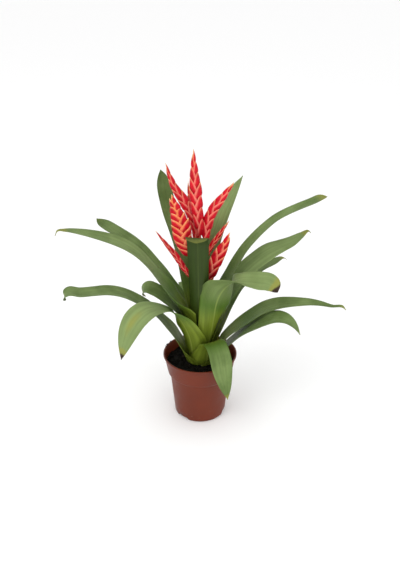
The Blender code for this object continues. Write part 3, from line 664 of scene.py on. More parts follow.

# %% [markdown]
# Only this table differs from leaf to leaf: the azimuth, the half-widths of sheath and blade,
# how far the sheath may clasp in degrees, the turns along the leaf, and the midrib as pairs of
# reach from the axis and height above the table. Another number paints light and shade on a
# blade: above 0 the blade is painted lighter, as if lit, and below 0 darker, as a painted shade.
# dry is how far its tip has died back.

# %% Table of leaves
LEAVES = {
    "rear_right_upright": dict(
        azimuth=50, sheath=0.014, blade=0.014, clasp=75, taper=0.72, blunt=2.4, cup=0.25,
        tone=0.6,
        path=[(0.0065, 0.1045), (0.008, 0.150), (0.013, 0.200), (0.021, 0.250),
              (0.032, 0.290), (0.042, 0.313), (0.055, 0.335), (0.072, 0.356),
              (0.090, 0.374), (0.104, 0.386)],
    ),
    "rear_left_upright": dict(
        azimuth=125, sheath=0.016, blade=0.0135, clasp=64, taper=0.84, blunt=4, cup=0.3,
        tone=-0.3,
        path=[(0.0085, 0.1035), (0.011, 0.145), (0.016, 0.180), (0.025, 0.208),
              (0.035, 0.232), (0.044, 0.258), (0.055, 0.283), (0.069, 0.305),
              (0.084, 0.326), (0.095, 0.348), (0.103, 0.370), (0.108, 0.393)],
    ),
    "front_upright": dict(
        azimuth=-96, sheath=0.018, blade=0.0165, clasp=60, taper=0.93, blunt=6, cup=0.05,
        # dry here also paints the pale band where the top rolls over: partly a dried tip, partly
        # a painted highlight
        free=(0.020, 0.038), tone=-1.0, dry=0.36,
        path=[(0.0095, 0.1030), (0.012, 0.140), (0.0145, 0.170), (0.0175, 0.200),
              (0.021, 0.240), (0.0255, 0.275), (0.0295, 0.304), (0.033, 0.322),
              (0.040, 0.332), (0.048, 0.335), (0.055, 0.331)],
    ),
    "front_right_arch": dict(
        azimuth=-45, turn=22, drift=(0.5, 0.95), sheath=0.025, blade=0.0155, clasp=51,
        neck=(0.60, 0.78), taper=0.88, blunt=4, cup=0.10, free=(0.024, 0.036), wave=0.14,
        roll=((0, 0), (0.3, -15), (0.45, -35), (0.62, -30), (0.78, 25), (1, 30)),
        gutter=(0.50, 0.60), tone=0.5, dry=1.0,
        path=[(0.0118, 0.1021), (0.016, 0.125), (0.021, 0.145), (0.026, 0.165),
              (0.030, 0.186), (0.035, 0.213), (0.043, 0.235), (0.051, 0.248),
              (0.060, 0.257), (0.073, 0.263), (0.087, 0.264), (0.101, 0.263),
              (0.112, 0.262), (0.121, 0.257), (0.126, 0.248)],
    ),
    "right_high": dict(
        azimuth=12, sheath=0.017, blade=0.0105, clasp=42, neck=(0.2, 0.6), taper=0.93,
        blunt=4, cup=0.20, roll=((0, 0), (0.25, 10), (0.5, 14), (0.75, 4), (1, 4)), tone=0.2,
        dry=0.5,
        path=[(0.0092, 0.1031), (0.0125, 0.140), (0.018, 0.175), (0.026, 0.208),
              (0.037, 0.231), (0.048, 0.250), (0.057, 0.267), (0.070, 0.289),
              (0.088, 0.310), (0.104, 0.325), (0.120, 0.337), (0.134, 0.344),
              (0.155, 0.352), (0.176, 0.359), (0.192, 0.365), (0.199, 0.366)],
    ),
    "right_wide": dict(
        azimuth=15, sheath=0.018, blade=0.017, clasp=58, blunt=2.2, cup=0.10, wave=0.05,
        roll=((0, 0), (0.25, 0), (0.6, 24), (1, 24)), tone=0.5, dry=0.8,
        path=[(0.0150, 0.1008), (0.019, 0.125), (0.024, 0.145), (0.030, 0.165),
              (0.038, 0.188), (0.047, 0.209), (0.057, 0.229), (0.068, 0.245),
              (0.083, 0.259), (0.099, 0.271), (0.115, 0.280), (0.132, 0.286),
              (0.149, 0.292), (0.165, 0.301), (0.177, 0.307), (0.181, 0.303)],
    ),
    "right_rear_short": dict(
        azimuth=25, sheath=0.018, blade=0.015, clasp=52, blunt=2.2, cup=0.10, wave=0.05,
        roll=((0, 0), (0.3, 0), (0.6, 8), (1, 8)), tone=0.4, dry=0.8,
        path=[(0.0175, 0.0998), (0.022, 0.120), (0.028, 0.138), (0.036, 0.158),
              (0.044, 0.177), (0.052, 0.195), (0.062, 0.212), (0.074, 0.227),
              (0.091, 0.238), (0.110, 0.245), (0.132, 0.249), (0.150, 0.252),
              (0.156, 0.248)],
    ),
    "right_low_long": dict(
        azimuth=-8, sheath=0.022, blade=0.019, clasp=34, taper=0.42, blunt=1.2,
        tail=0.003, cup=0.15, roll=((0, 0), (0.25, 0), (0.6, 12), (1, 12)), dry=0.4,
        path=[(0.0208, 0.0985), (0.0272, 0.112), (0.0345, 0.130), (0.046, 0.149),
              (0.064, 0.169), (0.082, 0.185), (0.102, 0.201), (0.122, 0.210),
              (0.140, 0.214), (0.157, 0.216), (0.172, 0.217), (0.188, 0.216),
              (0.206, 0.213), (0.222, 0.213), (0.227, 0.208)],
    ),
    "right_low_short": dict(
        azimuth=-20, sheath=0.026, blade=0.019, clasp=64, taper=0.55, cup=0.12,
        free=(0.026, 0.040),
        roll=((0, 0), (0.25, 0), (0.6, 12), (1, 12)), tone=0.1, dry=0.3,
        path=[(0.0228, 0.0977), (0.030, 0.1105), (0.040, 0.126), (0.055, 0.144),
              (0.072, 0.165), (0.090, 0.181), (0.111, 0.195), (0.129, 0.202),
              (0.141, 0.201), (0.151, 0.195), (0.158, 0.187), (0.163, 0.178)],
    ),
    "front_drooping": dict(
        azimuth=-63, sheath=0.032, blade=0.018, clasp=85, neck=(0.05, 0.28), blunt=2.2,
        cup=0.10, wave=0.04, tone=0.1, dry=0.6,
        path=[(0.0190, 0.0980), (0.0235, 0.109), (0.0260, 0.122), (0.029, 0.136),
              (0.035, 0.147), (0.043, 0.153), (0.053, 0.154), (0.062, 0.148),
              (0.071, 0.134), (0.079, 0.114), (0.088, 0.095), (0.095, 0.078)],
    ),
    "left_arch": dict(
        azimuth=200, sheath=0.026, blade=0.0150, clasp=55, neck=(0.32, 0.58), taper=0.66,
        cup=0.15, gutter=(0.40, 0.27), free=(0.024, 0.058),
        roll=((0, 0), (0.15, 0), (0.35, -18), (0.6, -20), (1, -8)), tone=0.35, dry=0.8,
        path=[(0.0115, 0.1022), (0.014, 0.130), (0.018, 0.160), (0.024, 0.182),
              (0.032, 0.197), (0.042, 0.211), (0.056, 0.238), (0.070, 0.263),
              (0.084, 0.286), (0.102, 0.308), (0.119, 0.322), (0.138, 0.333),
              (0.160, 0.343), (0.181, 0.351), (0.202, 0.357), (0.212, 0.358),
              (0.216, 0.351)],
    ),
    "left_rear": dict(
        azimuth=152, sheath=0.018, blade=0.013, clasp=56, taper=0.88, blunt=4, cup=0.20,
        roll=((0, 0), (0.3, 0), (0.6, -5), (1, -5)), tone=-0.3, dry=0.3,
        path=[(0.0135, 0.1014), (0.016, 0.130), (0.0205, 0.155), (0.026, 0.175),
              (0.034, 0.196), (0.043, 0.210), (0.054, 0.222), (0.070, 0.240),
              (0.088, 0.256), (0.105, 0.271), (0.127, 0.284), (0.150, 0.293),
              (0.172, 0.301), (0.184, 0.306), (0.190, 0.310)],
    ),
    "left_short": dict(
        azimuth=172, sheath=0.017, blade=0.015, clasp=56, taper=0.80, blunt=3,
        roll=((0, 0), (0.3, 0), (0.6, -14), (1, -14)), tone=0.1, dry=0.5,
        path=[(0.0155, 0.1006), (0.0185, 0.130), (0.023, 0.152), (0.0285, 0.172),
              (0.037, 0.190), (0.049, 0.203), (0.062, 0.214), (0.074, 0.221),
              (0.085, 0.224), (0.091, 0.220), (0.091, 0.213), (0.087, 0.208)],
    ),
    "front_left_drooping": dict(
        azimuth=236, turn=-15, drift=(0.15, 0.5), sheath=0.027, blade=0.022, clasp=76,
        taper=0.70, blunt=2.2, cup=0.08, free=(0.024, 0.036),
        roll=((0, 0), (0.3, 0), (0.6, -8), (1, -8)), gutter=(0.20, 0.38),
        pinch=(0.40, 0.50), tone=0.6, dry=1.0, mid_blade_patch=0.42,
        path=[(0.0170, 0.1000), (0.0205, 0.118), (0.0245, 0.138), (0.0295, 0.158),
              (0.037, 0.177), (0.047, 0.196), (0.062, 0.212), (0.083, 0.224),
              (0.105, 0.228), (0.124, 0.221), (0.138, 0.206), (0.148, 0.186),
              (0.155, 0.163)],
    ),
    "left_low": dict(
        azimuth=190, sheath=0.029, blade=0.016, clasp=72, neck=(0.12, 0.40), taper=0.90,
        blunt=5, dry=0.3, free=(0.024, 0.036),
        roll=((0, 0), (0.2, -5), (0.5, -6), (0.8, 0), (1, 0)),
        path=[(0.0214, 0.0982), (0.027, 0.114), (0.0345, 0.134), (0.045, 0.155),
              (0.058, 0.174), (0.071, 0.192), (0.081, 0.203), (0.097, 0.216),
              (0.112, 0.226), (0.127, 0.233), (0.145, 0.237), (0.165, 0.237),
              (0.186, 0.237), (0.203, 0.240), (0.209, 0.236), (0.207, 0.228)],
    ),
    "rear_left_low": dict(
        azimuth=112, sheath=0.016, blade=0.013, clasp=40, taper=0.5, cup=0.20,
        path=[(0.0185, 0.0994), (0.024, 0.118), (0.032, 0.136), (0.042, 0.156),
              (0.053, 0.174), (0.066, 0.188), (0.080, 0.196), (0.090, 0.197),
              (0.096, 0.192)],
    ),
    "rear_right_low": dict(
        azimuth=68, sheath=0.017, blade=0.014, clasp=34, cup=0.20,
        path=[(0.0210, 0.0984), (0.028, 0.116), (0.038, 0.133), (0.052, 0.150),
              (0.068, 0.164), (0.085, 0.172), (0.100, 0.172), (0.112, 0.165)],
    ),
}
print(len(LEAVES), "leaves")

# %% [markdown]
# The skin of a leaf changes along it. The sheath is yellow-green, thick and smooth. The blade is
# a matt grey-green above, where a thin bloom of wax scatters light, and the paler grey of that
# side is partly a painted sheen of the bright sky. It is a purer green below, with a paler line
# along the midrib. Fine veins run from end to end. The tip dries first, to straw and then to
# brown. One material does for every leaf. It takes the place along and across the leaf from its
# UV map, and how far each change has gone from attributes. First come the patterns.

# %% Patterns on a leaf
leaf_skin, tree, shader = new_material("leaf_skin", Specular_IOR_Level=0.22)
uv = tree.add("ShaderNodeTexCoord").outputs["UV"]
position = tree.add("ShaderNodeTexCoord").outputs["Object"]
veins = place_group(tree, veins_group, uv, Lines=26.0, Stretch=2.5, Wander=0.25)
streaks = place_group(tree, veins_group, uv, Lines=7.0, Stretch=2.2, Wander=1.0)
patches = place_group(tree, mottle_group, position, Scale=34.0, Low=0.3, High=0.7)["Mask"]
speckle = place_group(tree, mottle_group, position, Scale=420.0, Low=0.66, High=0.74)["Mask"]
bloom = place_group(tree, mottle_group, position, Scale=1400.0, Detail=2.0)["Mask"]
across = tree.add("ShaderNodeSeparateXYZ", {0: uv}).outputs[0]
from_middle = off_middle(tree, across)
under = tree.attribute("under")
base = tree.attribute("sheath")
# painted light and shade, one number for each leaf
tone = tree.attribute("tone")
dryness = tree.attribute("dry")
print("leaf skin:", len(leaf_skin.node_tree.nodes), "nodes of patterns")

# %% [markdown]
# The colours are laid on from the ground up. The blade's two sides come first, then the painted
# light on a blade that faces the light, then the fresh green foot, the painted shade of an unlit
# blade, the streaks and veins, and last the specks and the dried tip, which cover all the rest.

# %% Leaf colours
# the upper side's grey-green: the wax's own colour, made paler by a painted sheen of the sky
UPPER = rgb(85, 107, 52)
UPPER_PALE = rgb(110, 131, 75)
LIT = rgb(132, 150, 95)
FRESH = rgb(70, 98, 28)
LOWER = rgb(70, 96, 28)
LOWER_DARK = rgb(56, 80, 22)
SHEATH = rgb(92, 108, 24)
SHEATH_PALE = rgb(110, 126, 38)
# the dark green of painted shade
PAINTED_SHADE_GREEN = rgb(32, 48, 8)
MIDRIB = rgb(150, 162, 84)
STRAW = rgb(140, 140, 60)
DRY = rgb(50, 32, 18)

# upper side with its painted sheen, and the lower side
above = tree.mix(patches, UPPER, UPPER_PALE)
below = tree.mix(patches, LOWER_DARK, LOWER)
colour = tree.mix(under, above, below)
# painted light: a blade turned to the light is mixed towards LIT
painted_light_share = tree.ramp(tone, 0.0, 1.0, 0.0, 0.9)
colour = tree.mix(painted_light_share, colour, LIT)
foot = tree.mix(streaks["Streak"], SHEATH, SHEATH_PALE)
colour = tree.mix(tree.ramp(base, 0.05, 0.50), colour, FRESH)
colour = tree.mix(tree.ramp(base, 0.45, 0.95), colour, foot)
# painted shade: a blade out of the light is mixed towards a dark green
shade = tree.ramp(tone, 0.0, -1.0, 0.0, 0.85)
colour = tree.mix(shade, colour, PAINTED_SHADE_GREEN)
streak = tree.ramp(streaks["Streak"], 0.0, 1.0, 0.90, 1.08)
grey = tree.add("ShaderNodeCombineColor", {0: streak, 1: streak, 2: streak}).outputs[0]
colour = tree.mix(1.0, colour, grey, blend="MULTIPLY")
line = tree.ramp(veins["Height"], 0.2, 0.9, 0.0, 0.05)
colour = tree.mix(line, colour, MIDRIB)
rib = tree.ramp(from_middle, 0.07, 0.0, 0.0, 0.45)
rib = tree.math("MULTIPLY", rib, tree.math("SUBTRACT", 1.0, shade))
colour = tree.mix(tree.math("MULTIPLY", rib, under), colour, MIDRIB)
colour = tree.mix(tree.math("MULTIPLY", speckle, tree.math("MULTIPLY", base, 0.35)),
                  colour, DRY)
ragged = tree.math("ADD", dryness, tree.math("MULTIPLY", patches, 0.12))
colour = tree.mix(tree.ramp(ragged, 0.25, 0.60, 0.0, 0.8), colour, STRAW)
colour = tree.mix(tree.ramp(ragged, 0.82, 1.0), colour, DRY)
tree.put(shader.inputs["Base Color"], colour)
print("leaf skin:", len(leaf_skin.node_tree.nodes), "nodes with its colours")

# %% [markdown]
# Wax makes the blade less glossy than the sheath, and the veins stand out by a fraction of
# a millimetre, which breaks up the highlights along the leaf.

# %% Leaf gloss and relief
matt = tree.math("MULTIPLY_ADD", tree.math("SUBTRACT", 1.0, base), 0.10, 0.40)
rough = tree.math("ADD", matt, tree.math("MULTIPLY", bloom, 0.08))
tree.put(shader.inputs["Roughness"], rough)
relief = tree.math("ADD", tree.math("MULTIPLY", veins["Height"], 0.6),
                   tree.math("MULTIPLY", bloom, 0.15))
bump(tree, shader, relief, 0.00022)
print("leaf skin:", len(leaf_skin.node_tree.nodes), "nodes")

# %% [markdown]
# A leaf is fleshy along its keel and thin at its margins. A Solidify modifier could thicken
# the sheet evenly, but here the thickness changes across it, so two sheets are laid half a
# thickness to either side of the middle surface and joined into one skin. The attributes are
# worked out with it: which side faces down, how much sheath there is, and how dry the tip is.

# %% Make the leaves
LEAF_ROWS = 96
LEAF_COLUMNS = 21
KEEL_THICKNESS = 0.0013
MARGIN_THICKNESS = 0.0004
SHEATH_REACH = 0.025
SHEATH_FADE = 0.105
SHEATH_HEIGHTS = (0.17, 0.25)
SHEATH_SHARES = (0.30, 0.70)
TIP_SHARES = (0.90, 0.99)


def sheet_normals(points):
    """Unit normals of a grid of points, from its two directions' differences."""
    along = np.gradient(points, axis=0)
    across = np.gradient(points, axis=1)
    return unit(np.cross(across, along) + 1e-12)


def make_leaf(name, tone=0.0, dry=0.0, mid_blade_patch=0.0, **shape):
    """A closed skin over the leaf's middle surface, thick at the keel, thin at the margins."""
    share = np.linspace(0.0, 1.0, LEAF_ROWS)[:, None]
    u = np.broadcast_to(1.0 - (1.0 - share) ** 1.25, (LEAF_ROWS, LEAF_COLUMNS))
    v = np.broadcast_to(np.linspace(-1.0, 1.0, LEAF_COLUMNS)[None], u.shape)
    middle = leaf_sheet(u, v, **shape)
    face = sheet_normals(middle)
    keel = KEEL_THICKNESS * (1.0 - 0.5 * u)
    thick = MARGIN_THICKNESS + (keel - MARGIN_THICKNESS) * np.maximum(1.0 - v**2, 0.0)
    half = (0.5 * thick)[..., None] * face
    sheets = np.stack([middle - half, middle + half])
    reach = np.hypot(middle[..., 0], middle[..., 1])
    sheath = np.clip(1.0 - (reach - SHEATH_REACH) / SHEATH_FADE, 0.0, 1.0)
    sheath = sheath * (1.0 - 0.45 * smooth_step(middle[..., 2], *SHEATH_HEIGHTS))
    sheath = sheath * (1.0 - smooth_step(u, *SHEATH_SHARES))
    tip = smooth_step(u, *TIP_SHARES) * dry
    # a straw-yellow patch on the middle of the blade, about four fifths of the way to the tip,
    # added to the dryness
    tip = tip + mid_blade_patch * np.exp(-(((u - 0.78) / 0.12) ** 2) - ((v + 0.1) / 0.5) ** 2)
    both = np.ones((2, 1, 1))
    under = both * np.zeros_like(u)
    lower_sheet = 1 if face[..., 2].sum() < 0.0 else 0
    under[lower_sheet] = 1.0
    make_piece(
        "leaf_" + name, sheets, skin_faces(LEAF_ROWS, LEAF_COLUMNS)[:, ::-1], leaf_skin,
        ["leaf_" + name],
        uv=np.stack([both * (v + 1.0) / 2.0, both * u], axis=-1),
        # the last value carries the leaf's painted light and shade
        values={"under": under, "sheath": both * sheath, "dry": both * tip,
                "tone": np.full_like(under, tone)},
    )


for name, shape in LEAVES.items():
    make_leaf(name, **shape)
print(len(LEAVES), "leaves made")

# %% [markdown]
# ## The stem and the flower stalk
# The leaves stand on a short thick crown, and one stalk rises through their middle and
# carries the spikes. Both are turned profiles. The stalk is fresh and green at the foot and
# flushed red near the spikes, so its colour follows its height.

# %% Stalk material
stalk_skin, tree, shader = new_material("stalk_skin", Roughness=0.5)
position = tree.add("ShaderNodeTexCoord").outputs["Object"]
height = tree.add("ShaderNodeSeparateXYZ", {0: position}).outputs[2]
cloud = place_group(tree, mottle_group, position, Scale=90.0)["Mask"]
colour = tree.mix(cloud, rgb(120, 140, 60), rgb(150, 164, 80))
flush = tree.ramp(height, 0.19, 0.27, 0.0, 0.85)
colour = tree.mix(flush, colour, rgb(176, 40, 48))
tree.put(shader.inputs["Base Color"], colour)
bump(tree, shader, cloud, 0.0003)
print("stalk skin:", len(stalk_skin.node_tree.nodes), "nodes")

# %% Turn the crown and the stalk
CROWN_STEPS = 64
STALK_STEPS = 40

crown_profile = np.array([
    (0.0, 0.1040), (0.0030, 0.1040), (0.0045, 0.1038), (0.0120, 0.1009), (0.0232, 0.0965),
    (0.0235, 0.0960), (0.0235, 0.0936), (0.0228, 0.0920), (0.0190, 0.0850),
    (0.0130, 0.0700), (0.0070, 0.0610), (0.0, 0.0585),
])
points, faces = merge_axis(turn_profile(crown_profile, CROWN_STEPS),
                           grid_faces(len(crown_profile), CROWN_STEPS, wrap=True))
make_piece("crown", points, faces, stalk_skin, ["stem"])
stalk_profile = np.array([
    (0.0, 0.3165), (0.0016, 0.3164), (0.0021, 0.3158), (0.0027, 0.3110), (0.0033, 0.240),
    (0.0040, 0.1045), (0.0036, 0.1043), (0.0, 0.1043),
])
points, faces = merge_axis(turn_profile(stalk_profile, STALK_STEPS),
                           grid_faces(len(stalk_profile), STALK_STEPS, wrap=True))
make_piece("stalk", points, faces, stalk_skin, ["flower_stalk"])

# %% [markdown]
# ## The flower spikes
# A spike is flat, because its bracts stand in two ranks, left and right of a thin branch.
# Their colour makes the plant: crimson and scarlet cheeks, a salmon or peach band along each
# margin, and amber to cream tips where a spike ripens. The margin band is partly the bract's own
# paler margin and partly a painted highlight on the rolled margin. How far a bract has ripened
# is an attribute, and the bands follow its own UV map, across from margin to margin and along
# from foot to tip.

# %% Bract material
bract_skin, tree, shader = new_material(
    "bract_skin", Specular_IOR_Level=0.16, Coat_Weight=0.04, Coat_Roughness=0.3
)
uv = tree.add("ShaderNodeTexCoord").outputs["UV"]
position = tree.add("ShaderNodeTexCoord").outputs["Object"]
veins = place_group(tree, veins_group, uv, Lines=9.0, Stretch=1.5, Wander=0.3)
clouds = place_group(tree, mottle_group, position, Scale=170.0, Low=0.3, High=0.7)["Mask"]
parts = tree.add("ShaderNodeSeparateXYZ", {0: uv}).outputs
across = off_middle(tree, parts[0])
along = parts[1]
gold = tree.attribute("gold")
CRIMSON = rgb(172, 0, 24)
SCARLET = rgb(204, 6, 32)
SALMON = rgb(242, 136, 118)
PEACH = rgb(244, 150, 92)
CREAM = rgb(250, 214, 150)
AMBER = rgb(238, 148, 66)
colour = tree.mix(clouds, CRIMSON, SCARLET)
# the pale margin band: partly the bract's own colour, partly a painted highlight
edge = tree.ramp(across, 0.54, 1.0)
edge = tree.math("MULTIPLY", edge, tree.ramp(along, 0.10, 0.50, 0.30, 0.95))
rim = tree.mix(tree.ramp(gold, 0.25, 0.75), SALMON, PEACH)
colour = tree.mix(edge, colour, rim)
colour = tree.mix(tree.math("MULTIPLY", tree.ramp(along, 0.7, 1.0), 0.5), colour, SALMON)
ripe = tree.math("ADD", along, tree.math("MULTIPLY", across, 0.25))
ripe = tree.math("MULTIPLY", gold, tree.ramp(ripe, 0.78, 1.15))
colour = tree.mix(ripe, colour, tree.mix(clouds, AMBER, CREAM))
colour = tree.mix(tree.math("MULTIPLY", tree.ramp(along, 0.86, 1.0), 0.8), colour, CREAM)
tree.put(shader.inputs["Base Color"], colour)
tree.put(shader.inputs["Roughness"], tree.ramp(clouds, 0.0, 1.0, 0.34, 0.46))
bump(tree, shader, veins["Height"], 0.00020)
print("bract skin:", len(bract_skin.node_tree.nodes), "nodes")

# %% [markdown]
# A spike is laid out along its branch, which is a smooth path in an upright plane, as a
# leaf's midrib is. At each place the spike needs three directions: along the branch, across
# its flat side, and out of that side.

# %% Directions along a branch
FRAME_STEPS = 300


def spike_frame(azimuth, path, fractions):
    """Points on the branch and its three directions: along, across the flat side, and out."""
    steps = np.linspace(0.0, 1.0, FRAME_STEPS)
    flat, length = even_path(path, steps)
    turn = math.radians(azimuth)
    fine = np.stack(
        [flat[:, 0] * math.cos(turn), flat[:, 0] * math.sin(turn), flat[:, 1]], axis=-1
    )
    along = unit(np.gradient(fine, axis=0))
    right = np.array([1.0, 0.0, 0.0])
    across = unit(right - (along @ right)[:, None] * along)
    out = np.cross(along, across)
    at = np.clip(fractions, 0.0, 1.0)
    found = [
        np.stack([np.interp(at, steps, field[:, i]) for i in range(3)], axis=-1)
        for field in (fine, along, across, out)
    ]
    beyond = (np.maximum(fractions - 1.0, 0.0) * length)[..., None]
    return found[0] + beyond * found[1], found[1], found[2], found[3]


sample = spike_frame(0.0, [(0.0, 0.0), (0.01, 0.05), (0.03, 0.10)], np.array([0.0, 1.0]))
print("a sample branch points along", sample[1].round(2).tolist())

# %% [markdown]
# Each bract is a little boat folded along its keel. The keel makes the spike's outer edge,
# and the boat's two sides clasp the branch and the foot of the next bract on the other side,
# so the margins cross in a plaited pattern. An Array modifier along a curve could repeat one
# bract, but here each is wider or narrower than the last, and the last ones close into the
# spike's point. So all the bracts of a spike are worked out as one array.

# %% Bract formula
BRACT_ROWS = 13
BRACT_COLUMNS = 13
BRACT_THICKNESS = 0.00045
BRACT_DEPTH = 0.0045
OUTLINE_PLACES = (0.0, 0.12, 0.35, 0.6, 0.85)
OUTLINE_WIDTHS = (0.84, 0.96, 1.0, 0.78, 0.30)


def make_spike(name, azimuth, path, half_width, bracts, overlap=3.0, flare=0.0, gold=0.2):
    """All bracts of a spike, in half-widths w, for s along a bract and t across it.

    The keel runs out as 0.15 + 0.85 sin(pi s) up to half way, then draws in by a s^3, where
    a grows from 0.2 on the lower bracts to 0.82 on the last, so the spike ends in one point.
    The margin starts past the branch at -0.45 and meets the keel as s^1.7. Between the two,
    each cheek swells by the depth times sin(0.74 pi |t|^0.8), so the keel stays a sharp fold.
    """
    s = np.linspace(0.0, 1.0, BRACT_ROWS)[None, :, None] ** 0.8
    t = np.linspace(-1.0, 1.0, BRACT_COLUMNS)[None, None, :]
    number = np.arange(bracts)[:, None, None]
    rank = np.where(number % 2 == 0, 1.0, -1.0)
    share = number / (bracts - 1.0)
    reach = overlap / bracts * (1.1 - 0.25 * share)
    last = 1.0 - overlap / bracts * 0.85
    start = -0.02 + (last + 0.02) * share * (1.1 - 0.1 * share)
    place = start + reach * s
    outline = np.interp(start, OUTLINE_PLACES, OUTLINE_WIDTHS)
    grown = np.random.default_rng(bracts).normal(size=(2, bracts, 1, 1))
    width = half_width * outline * (1.0 + 0.05 * grown[0])
    flare = flare + 0.05 * grown[1] * (share < 0.9)
    keel = 0.15 + 0.85 * np.sin(np.minimum(2.0 * s, 1.0) * np.pi / 2.0)
    draw = 0.2 + 0.62 * smooth_step(share, 0.5, 0.9)
    keel = keel + (flare - draw) * s**3
    margin = -0.45 + (1.45 - draw + flare) * s**1.7
    breadth = np.maximum(keel - margin, 0.0) + 0.03
    x = rank * width * (keel - breadth * np.abs(t))
    tip_in = 1.0 - 0.9 * s**4
    bulge = np.sin(0.74 * np.pi * np.abs(t) ** 0.8)
    shingle = 0.35 + 0.65 * smooth_step(s, 0.0, 0.7)
    z = np.sign(t) * BRACT_DEPTH * bulge * shingle * tip_in * (0.6 + 0.4 * outline)
    place, x, z = np.broadcast_arrays(place, x, z)
    centre, along, across, out = spike_frame(azimuth, path, place)
    points = centre + across * x[..., None] + out * z[..., None]
    down = np.gradient(points, axis=1)
    over = np.gradient(points, axis=2)
    face = unit(np.cross(over, down) + 1e-12) * rank[..., None]
    inner = points - face * BRACT_THICKNESS
    sheets = np.stack([points, inner], axis=1)
    turned = skin_faces(BRACT_ROWS, BRACT_COLUMNS)
    each = 2 * BRACT_ROWS * BRACT_COLUMNS
    faces = repeat_faces(turned, bracts, each)
    flip = np.repeat(np.arange(bracts) % 2 == 0, len(turned))
    faces = np.where(flip[:, None], faces[:, ::-1], faces)
    u = np.broadcast_to((t + 1.0) / 2.0, place.shape)
    v = np.broadcast_to(s, place.shape)
    maps = np.stack([np.stack([u, v], axis=-1)] * 2, axis=1)
    tint = gold * (0.6 + 0.5 * place) + 0.45 * smooth_step(place, 0.75, 1.0)
    tint = np.clip(tint, 0.0, 1.0)
    make_piece(
        "bracts_" + name, sheets, faces, bract_skin, ["spike_" + name],
        uv=maps, values={"gold": np.stack([tint, tint], axis=1)},
    )


# %% [markdown]
# The table of spikes gives each one's azimuth, half-width and number of bracts, how far it
# has ripened, and the path of its branch as pairs of reach and height. flare spreads the
# bracts' tips, and overlap is how many of the spike's steps one bract covers.

# %% Table of spikes
SPIKES = {
    "top": dict(
        azimuth=-140, half_width=0.0098, bracts=13, gold=0.25,
        path=[(0.0, 0.3185), (0.003, 0.335), (0.006, 0.360), (0.009, 0.400), (0.013, 0.456)],
    ),
    "left_high": dict(
        azimuth=150, half_width=0.0082, bracts=13, gold=0.3,
        path=[(0.0055, 0.308), (0.008, 0.325), (0.013, 0.346), (0.024, 0.364),
              (0.046, 0.392), (0.060, 0.423)],
    ),
    "left_broad": dict(
        azimuth=-155, half_width=0.0150, bracts=17, gold=0.75, flare=0.2, overlap=3.8,
        path=[(0.0055, 0.282), (0.016, 0.296), (0.026, 0.314), (0.032, 0.345),
              (0.040, 0.371), (0.048, 0.392)],
    ),
    "rear": dict(
        azimuth=115, half_width=0.006, bracts=10, gold=0.8,
        path=[(0.0055, 0.285), (0.010, 0.300), (0.018, 0.318), (0.028, 0.338),
              (0.036, 0.360), (0.041, 0.392)],
    ),
    "right_high": dict(
        azimuth=8, half_width=0.0088, bracts=11, gold=0.3,
        path=[(0.0055, 0.305), (0.009, 0.325), (0.013, 0.345), (0.020, 0.360),
              (0.033, 0.378), (0.050, 0.402)],
    ),
    "right_thin": dict(
        azimuth=8, half_width=0.0045, bracts=9, gold=0.5,
        path=[(0.0058, 0.272), (0.012, 0.288), (0.021, 0.306), (0.033, 0.324),
              (0.044, 0.341)],
    ),
    "right_broad": dict(
        azimuth=-20, half_width=0.0110, bracts=10, gold=0.4, flare=0.12,
        path=[(0.0055, 0.226), (0.013, 0.248), (0.024, 0.277), (0.038, 0.308),
              (0.049, 0.331)],
    ),
    "left_thin": dict(
        azimuth=180, half_width=0.0052, bracts=13, gold=0.2,
        path=[(0.0058, 0.236), (0.012, 0.246), (0.022, 0.260), (0.036, 0.284),
              (0.052, 0.306), (0.067, 0.326)],
    ),
}
for name, shape in SPIKES.items():
    make_spike(name, **shape)

# %% [markdown]
# A thin branch runs inside each spike from the stalk. Most of it is hidden, but it shows
# between the lowest bracts, and it joins the spike to the plant. It is a ring of points
# carried along the same path, thinner towards the tip.

# %% Branches inside the spikes
BRANCH_SIDES = 12
BRANCH_ROWS = 40
BRANCH_FOOT_RADIUS = 0.0017
BRANCH_TAPER = 0.0012


def make_branch(name, azimuth, path):
    """A tapering tube along the spike's path, from inside the stalk's edge to near its tip."""
    share = np.linspace(0.0, 0.85, BRANCH_ROWS)
    start = np.array(path[0]) - 0.25 * (np.array(path[1]) - np.array(path[0]))
    centre, _, across, out = spike_frame(azimuth, [tuple(start)] + path, share)
    angle = 2.0 * np.pi * np.arange(BRANCH_SIDES) / BRANCH_SIDES
    radius = (BRANCH_FOOT_RADIUS - BRANCH_TAPER * share)[:, None, None]
    ring = (across[:, None] * np.cos(angle)[:, None] + out[:, None] * np.sin(angle)[:, None])
    points = centre[:, None] + radius * ring
    faces = grid_faces(BRANCH_ROWS, BRANCH_SIDES, wrap=True).tolist()
    first_ring = list(range(BRANCH_SIDES))
    faces.append(first_ring[::-1])
    faces.append([(BRANCH_ROWS - 1) * BRANCH_SIDES + corner for corner in first_ring])
    make_piece("branch_" + name, points, faces, stalk_skin)


for name, shape in SPIKES.items():
    make_branch(name, shape["azimuth"], shape["path"])
print(len(SPIKES), "spikes")

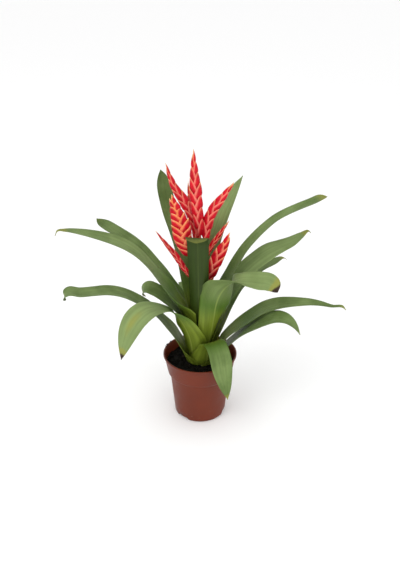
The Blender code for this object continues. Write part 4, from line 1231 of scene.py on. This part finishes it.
# %% [markdown]
# ## Floor and light
# A wide pale floor and a white sky give the even light of a studio. One large soft lamp above
# and to the left models the leaves, and a weaker one low in front opens the shadows under
# them. The Standard view transform keeps the white ground white and the reds strong.

# %% Floor
floor_skin, tree, shader = new_material("studio_floor", Roughness=0.9)
shader.inputs["Base Color"].default_value = (0.97, 0.97, 0.97, 1.0)
floor_mesh = bpy.data.meshes.new("studio_floor")
FLOOR_EDGE = 14.0
floor_corners = [(-FLOOR_EDGE, -FLOOR_EDGE, 0), (FLOOR_EDGE, -FLOOR_EDGE, 0),
                 (FLOOR_EDGE, FLOOR_EDGE, 0), (-FLOOR_EDGE, FLOOR_EDGE, 0)]
floor_mesh.from_pydata(floor_corners, [], [(0, 1, 2, 3)])
floor_mesh.materials.append(floor_skin)
floor = bpy.data.objects.new("studio_floor", floor_mesh)
bpy.context.scene.collection.objects.link(floor)
print("floor:", 2 * FLOOR_EDGE, "m wide")

# %% Sky and lamps
sky = bpy.data.worlds.new("studio_sky")
sky.use_nodes = True
sky.node_tree.nodes["Background"].inputs["Color"].default_value = (1.0, 1.0, 1.0, 1.0)
sky.node_tree.nodes["Background"].inputs["Strength"].default_value = 1.0
bpy.context.scene.world = sky
bpy.context.scene.view_settings.view_transform = "Standard"


PLANT_MIDDLE = 0.22


def add_lamp(name, place, size, power):
    """A square area lamp at a place, aimed at the middle of the plant."""
    lamp = bpy.data.lights.new(name, "AREA")
    lamp.size = size
    lamp.energy = power
    holder = bpy.data.objects.new(name, lamp)
    holder.location = place
    toward = np.array([0.0, 0.0, PLANT_MIDDLE]) - np.array(place)
    holder.rotation_euler = (
        math.atan2(math.hypot(toward[0], toward[1]), -toward[2]),
        0.0,
        math.atan2(toward[1], toward[0]) - math.pi / 2,
    )
    bpy.context.scene.collection.objects.link(holder)


add_lamp("key_lamp", (-0.9, -1.1, 2.0), 1.2, 13.0)
add_lamp("fill_lamp", (0.3, -1.8, 0.55), 1.4, 9.0)
print("lamps:", [lamp.name for lamp in bpy.data.lights])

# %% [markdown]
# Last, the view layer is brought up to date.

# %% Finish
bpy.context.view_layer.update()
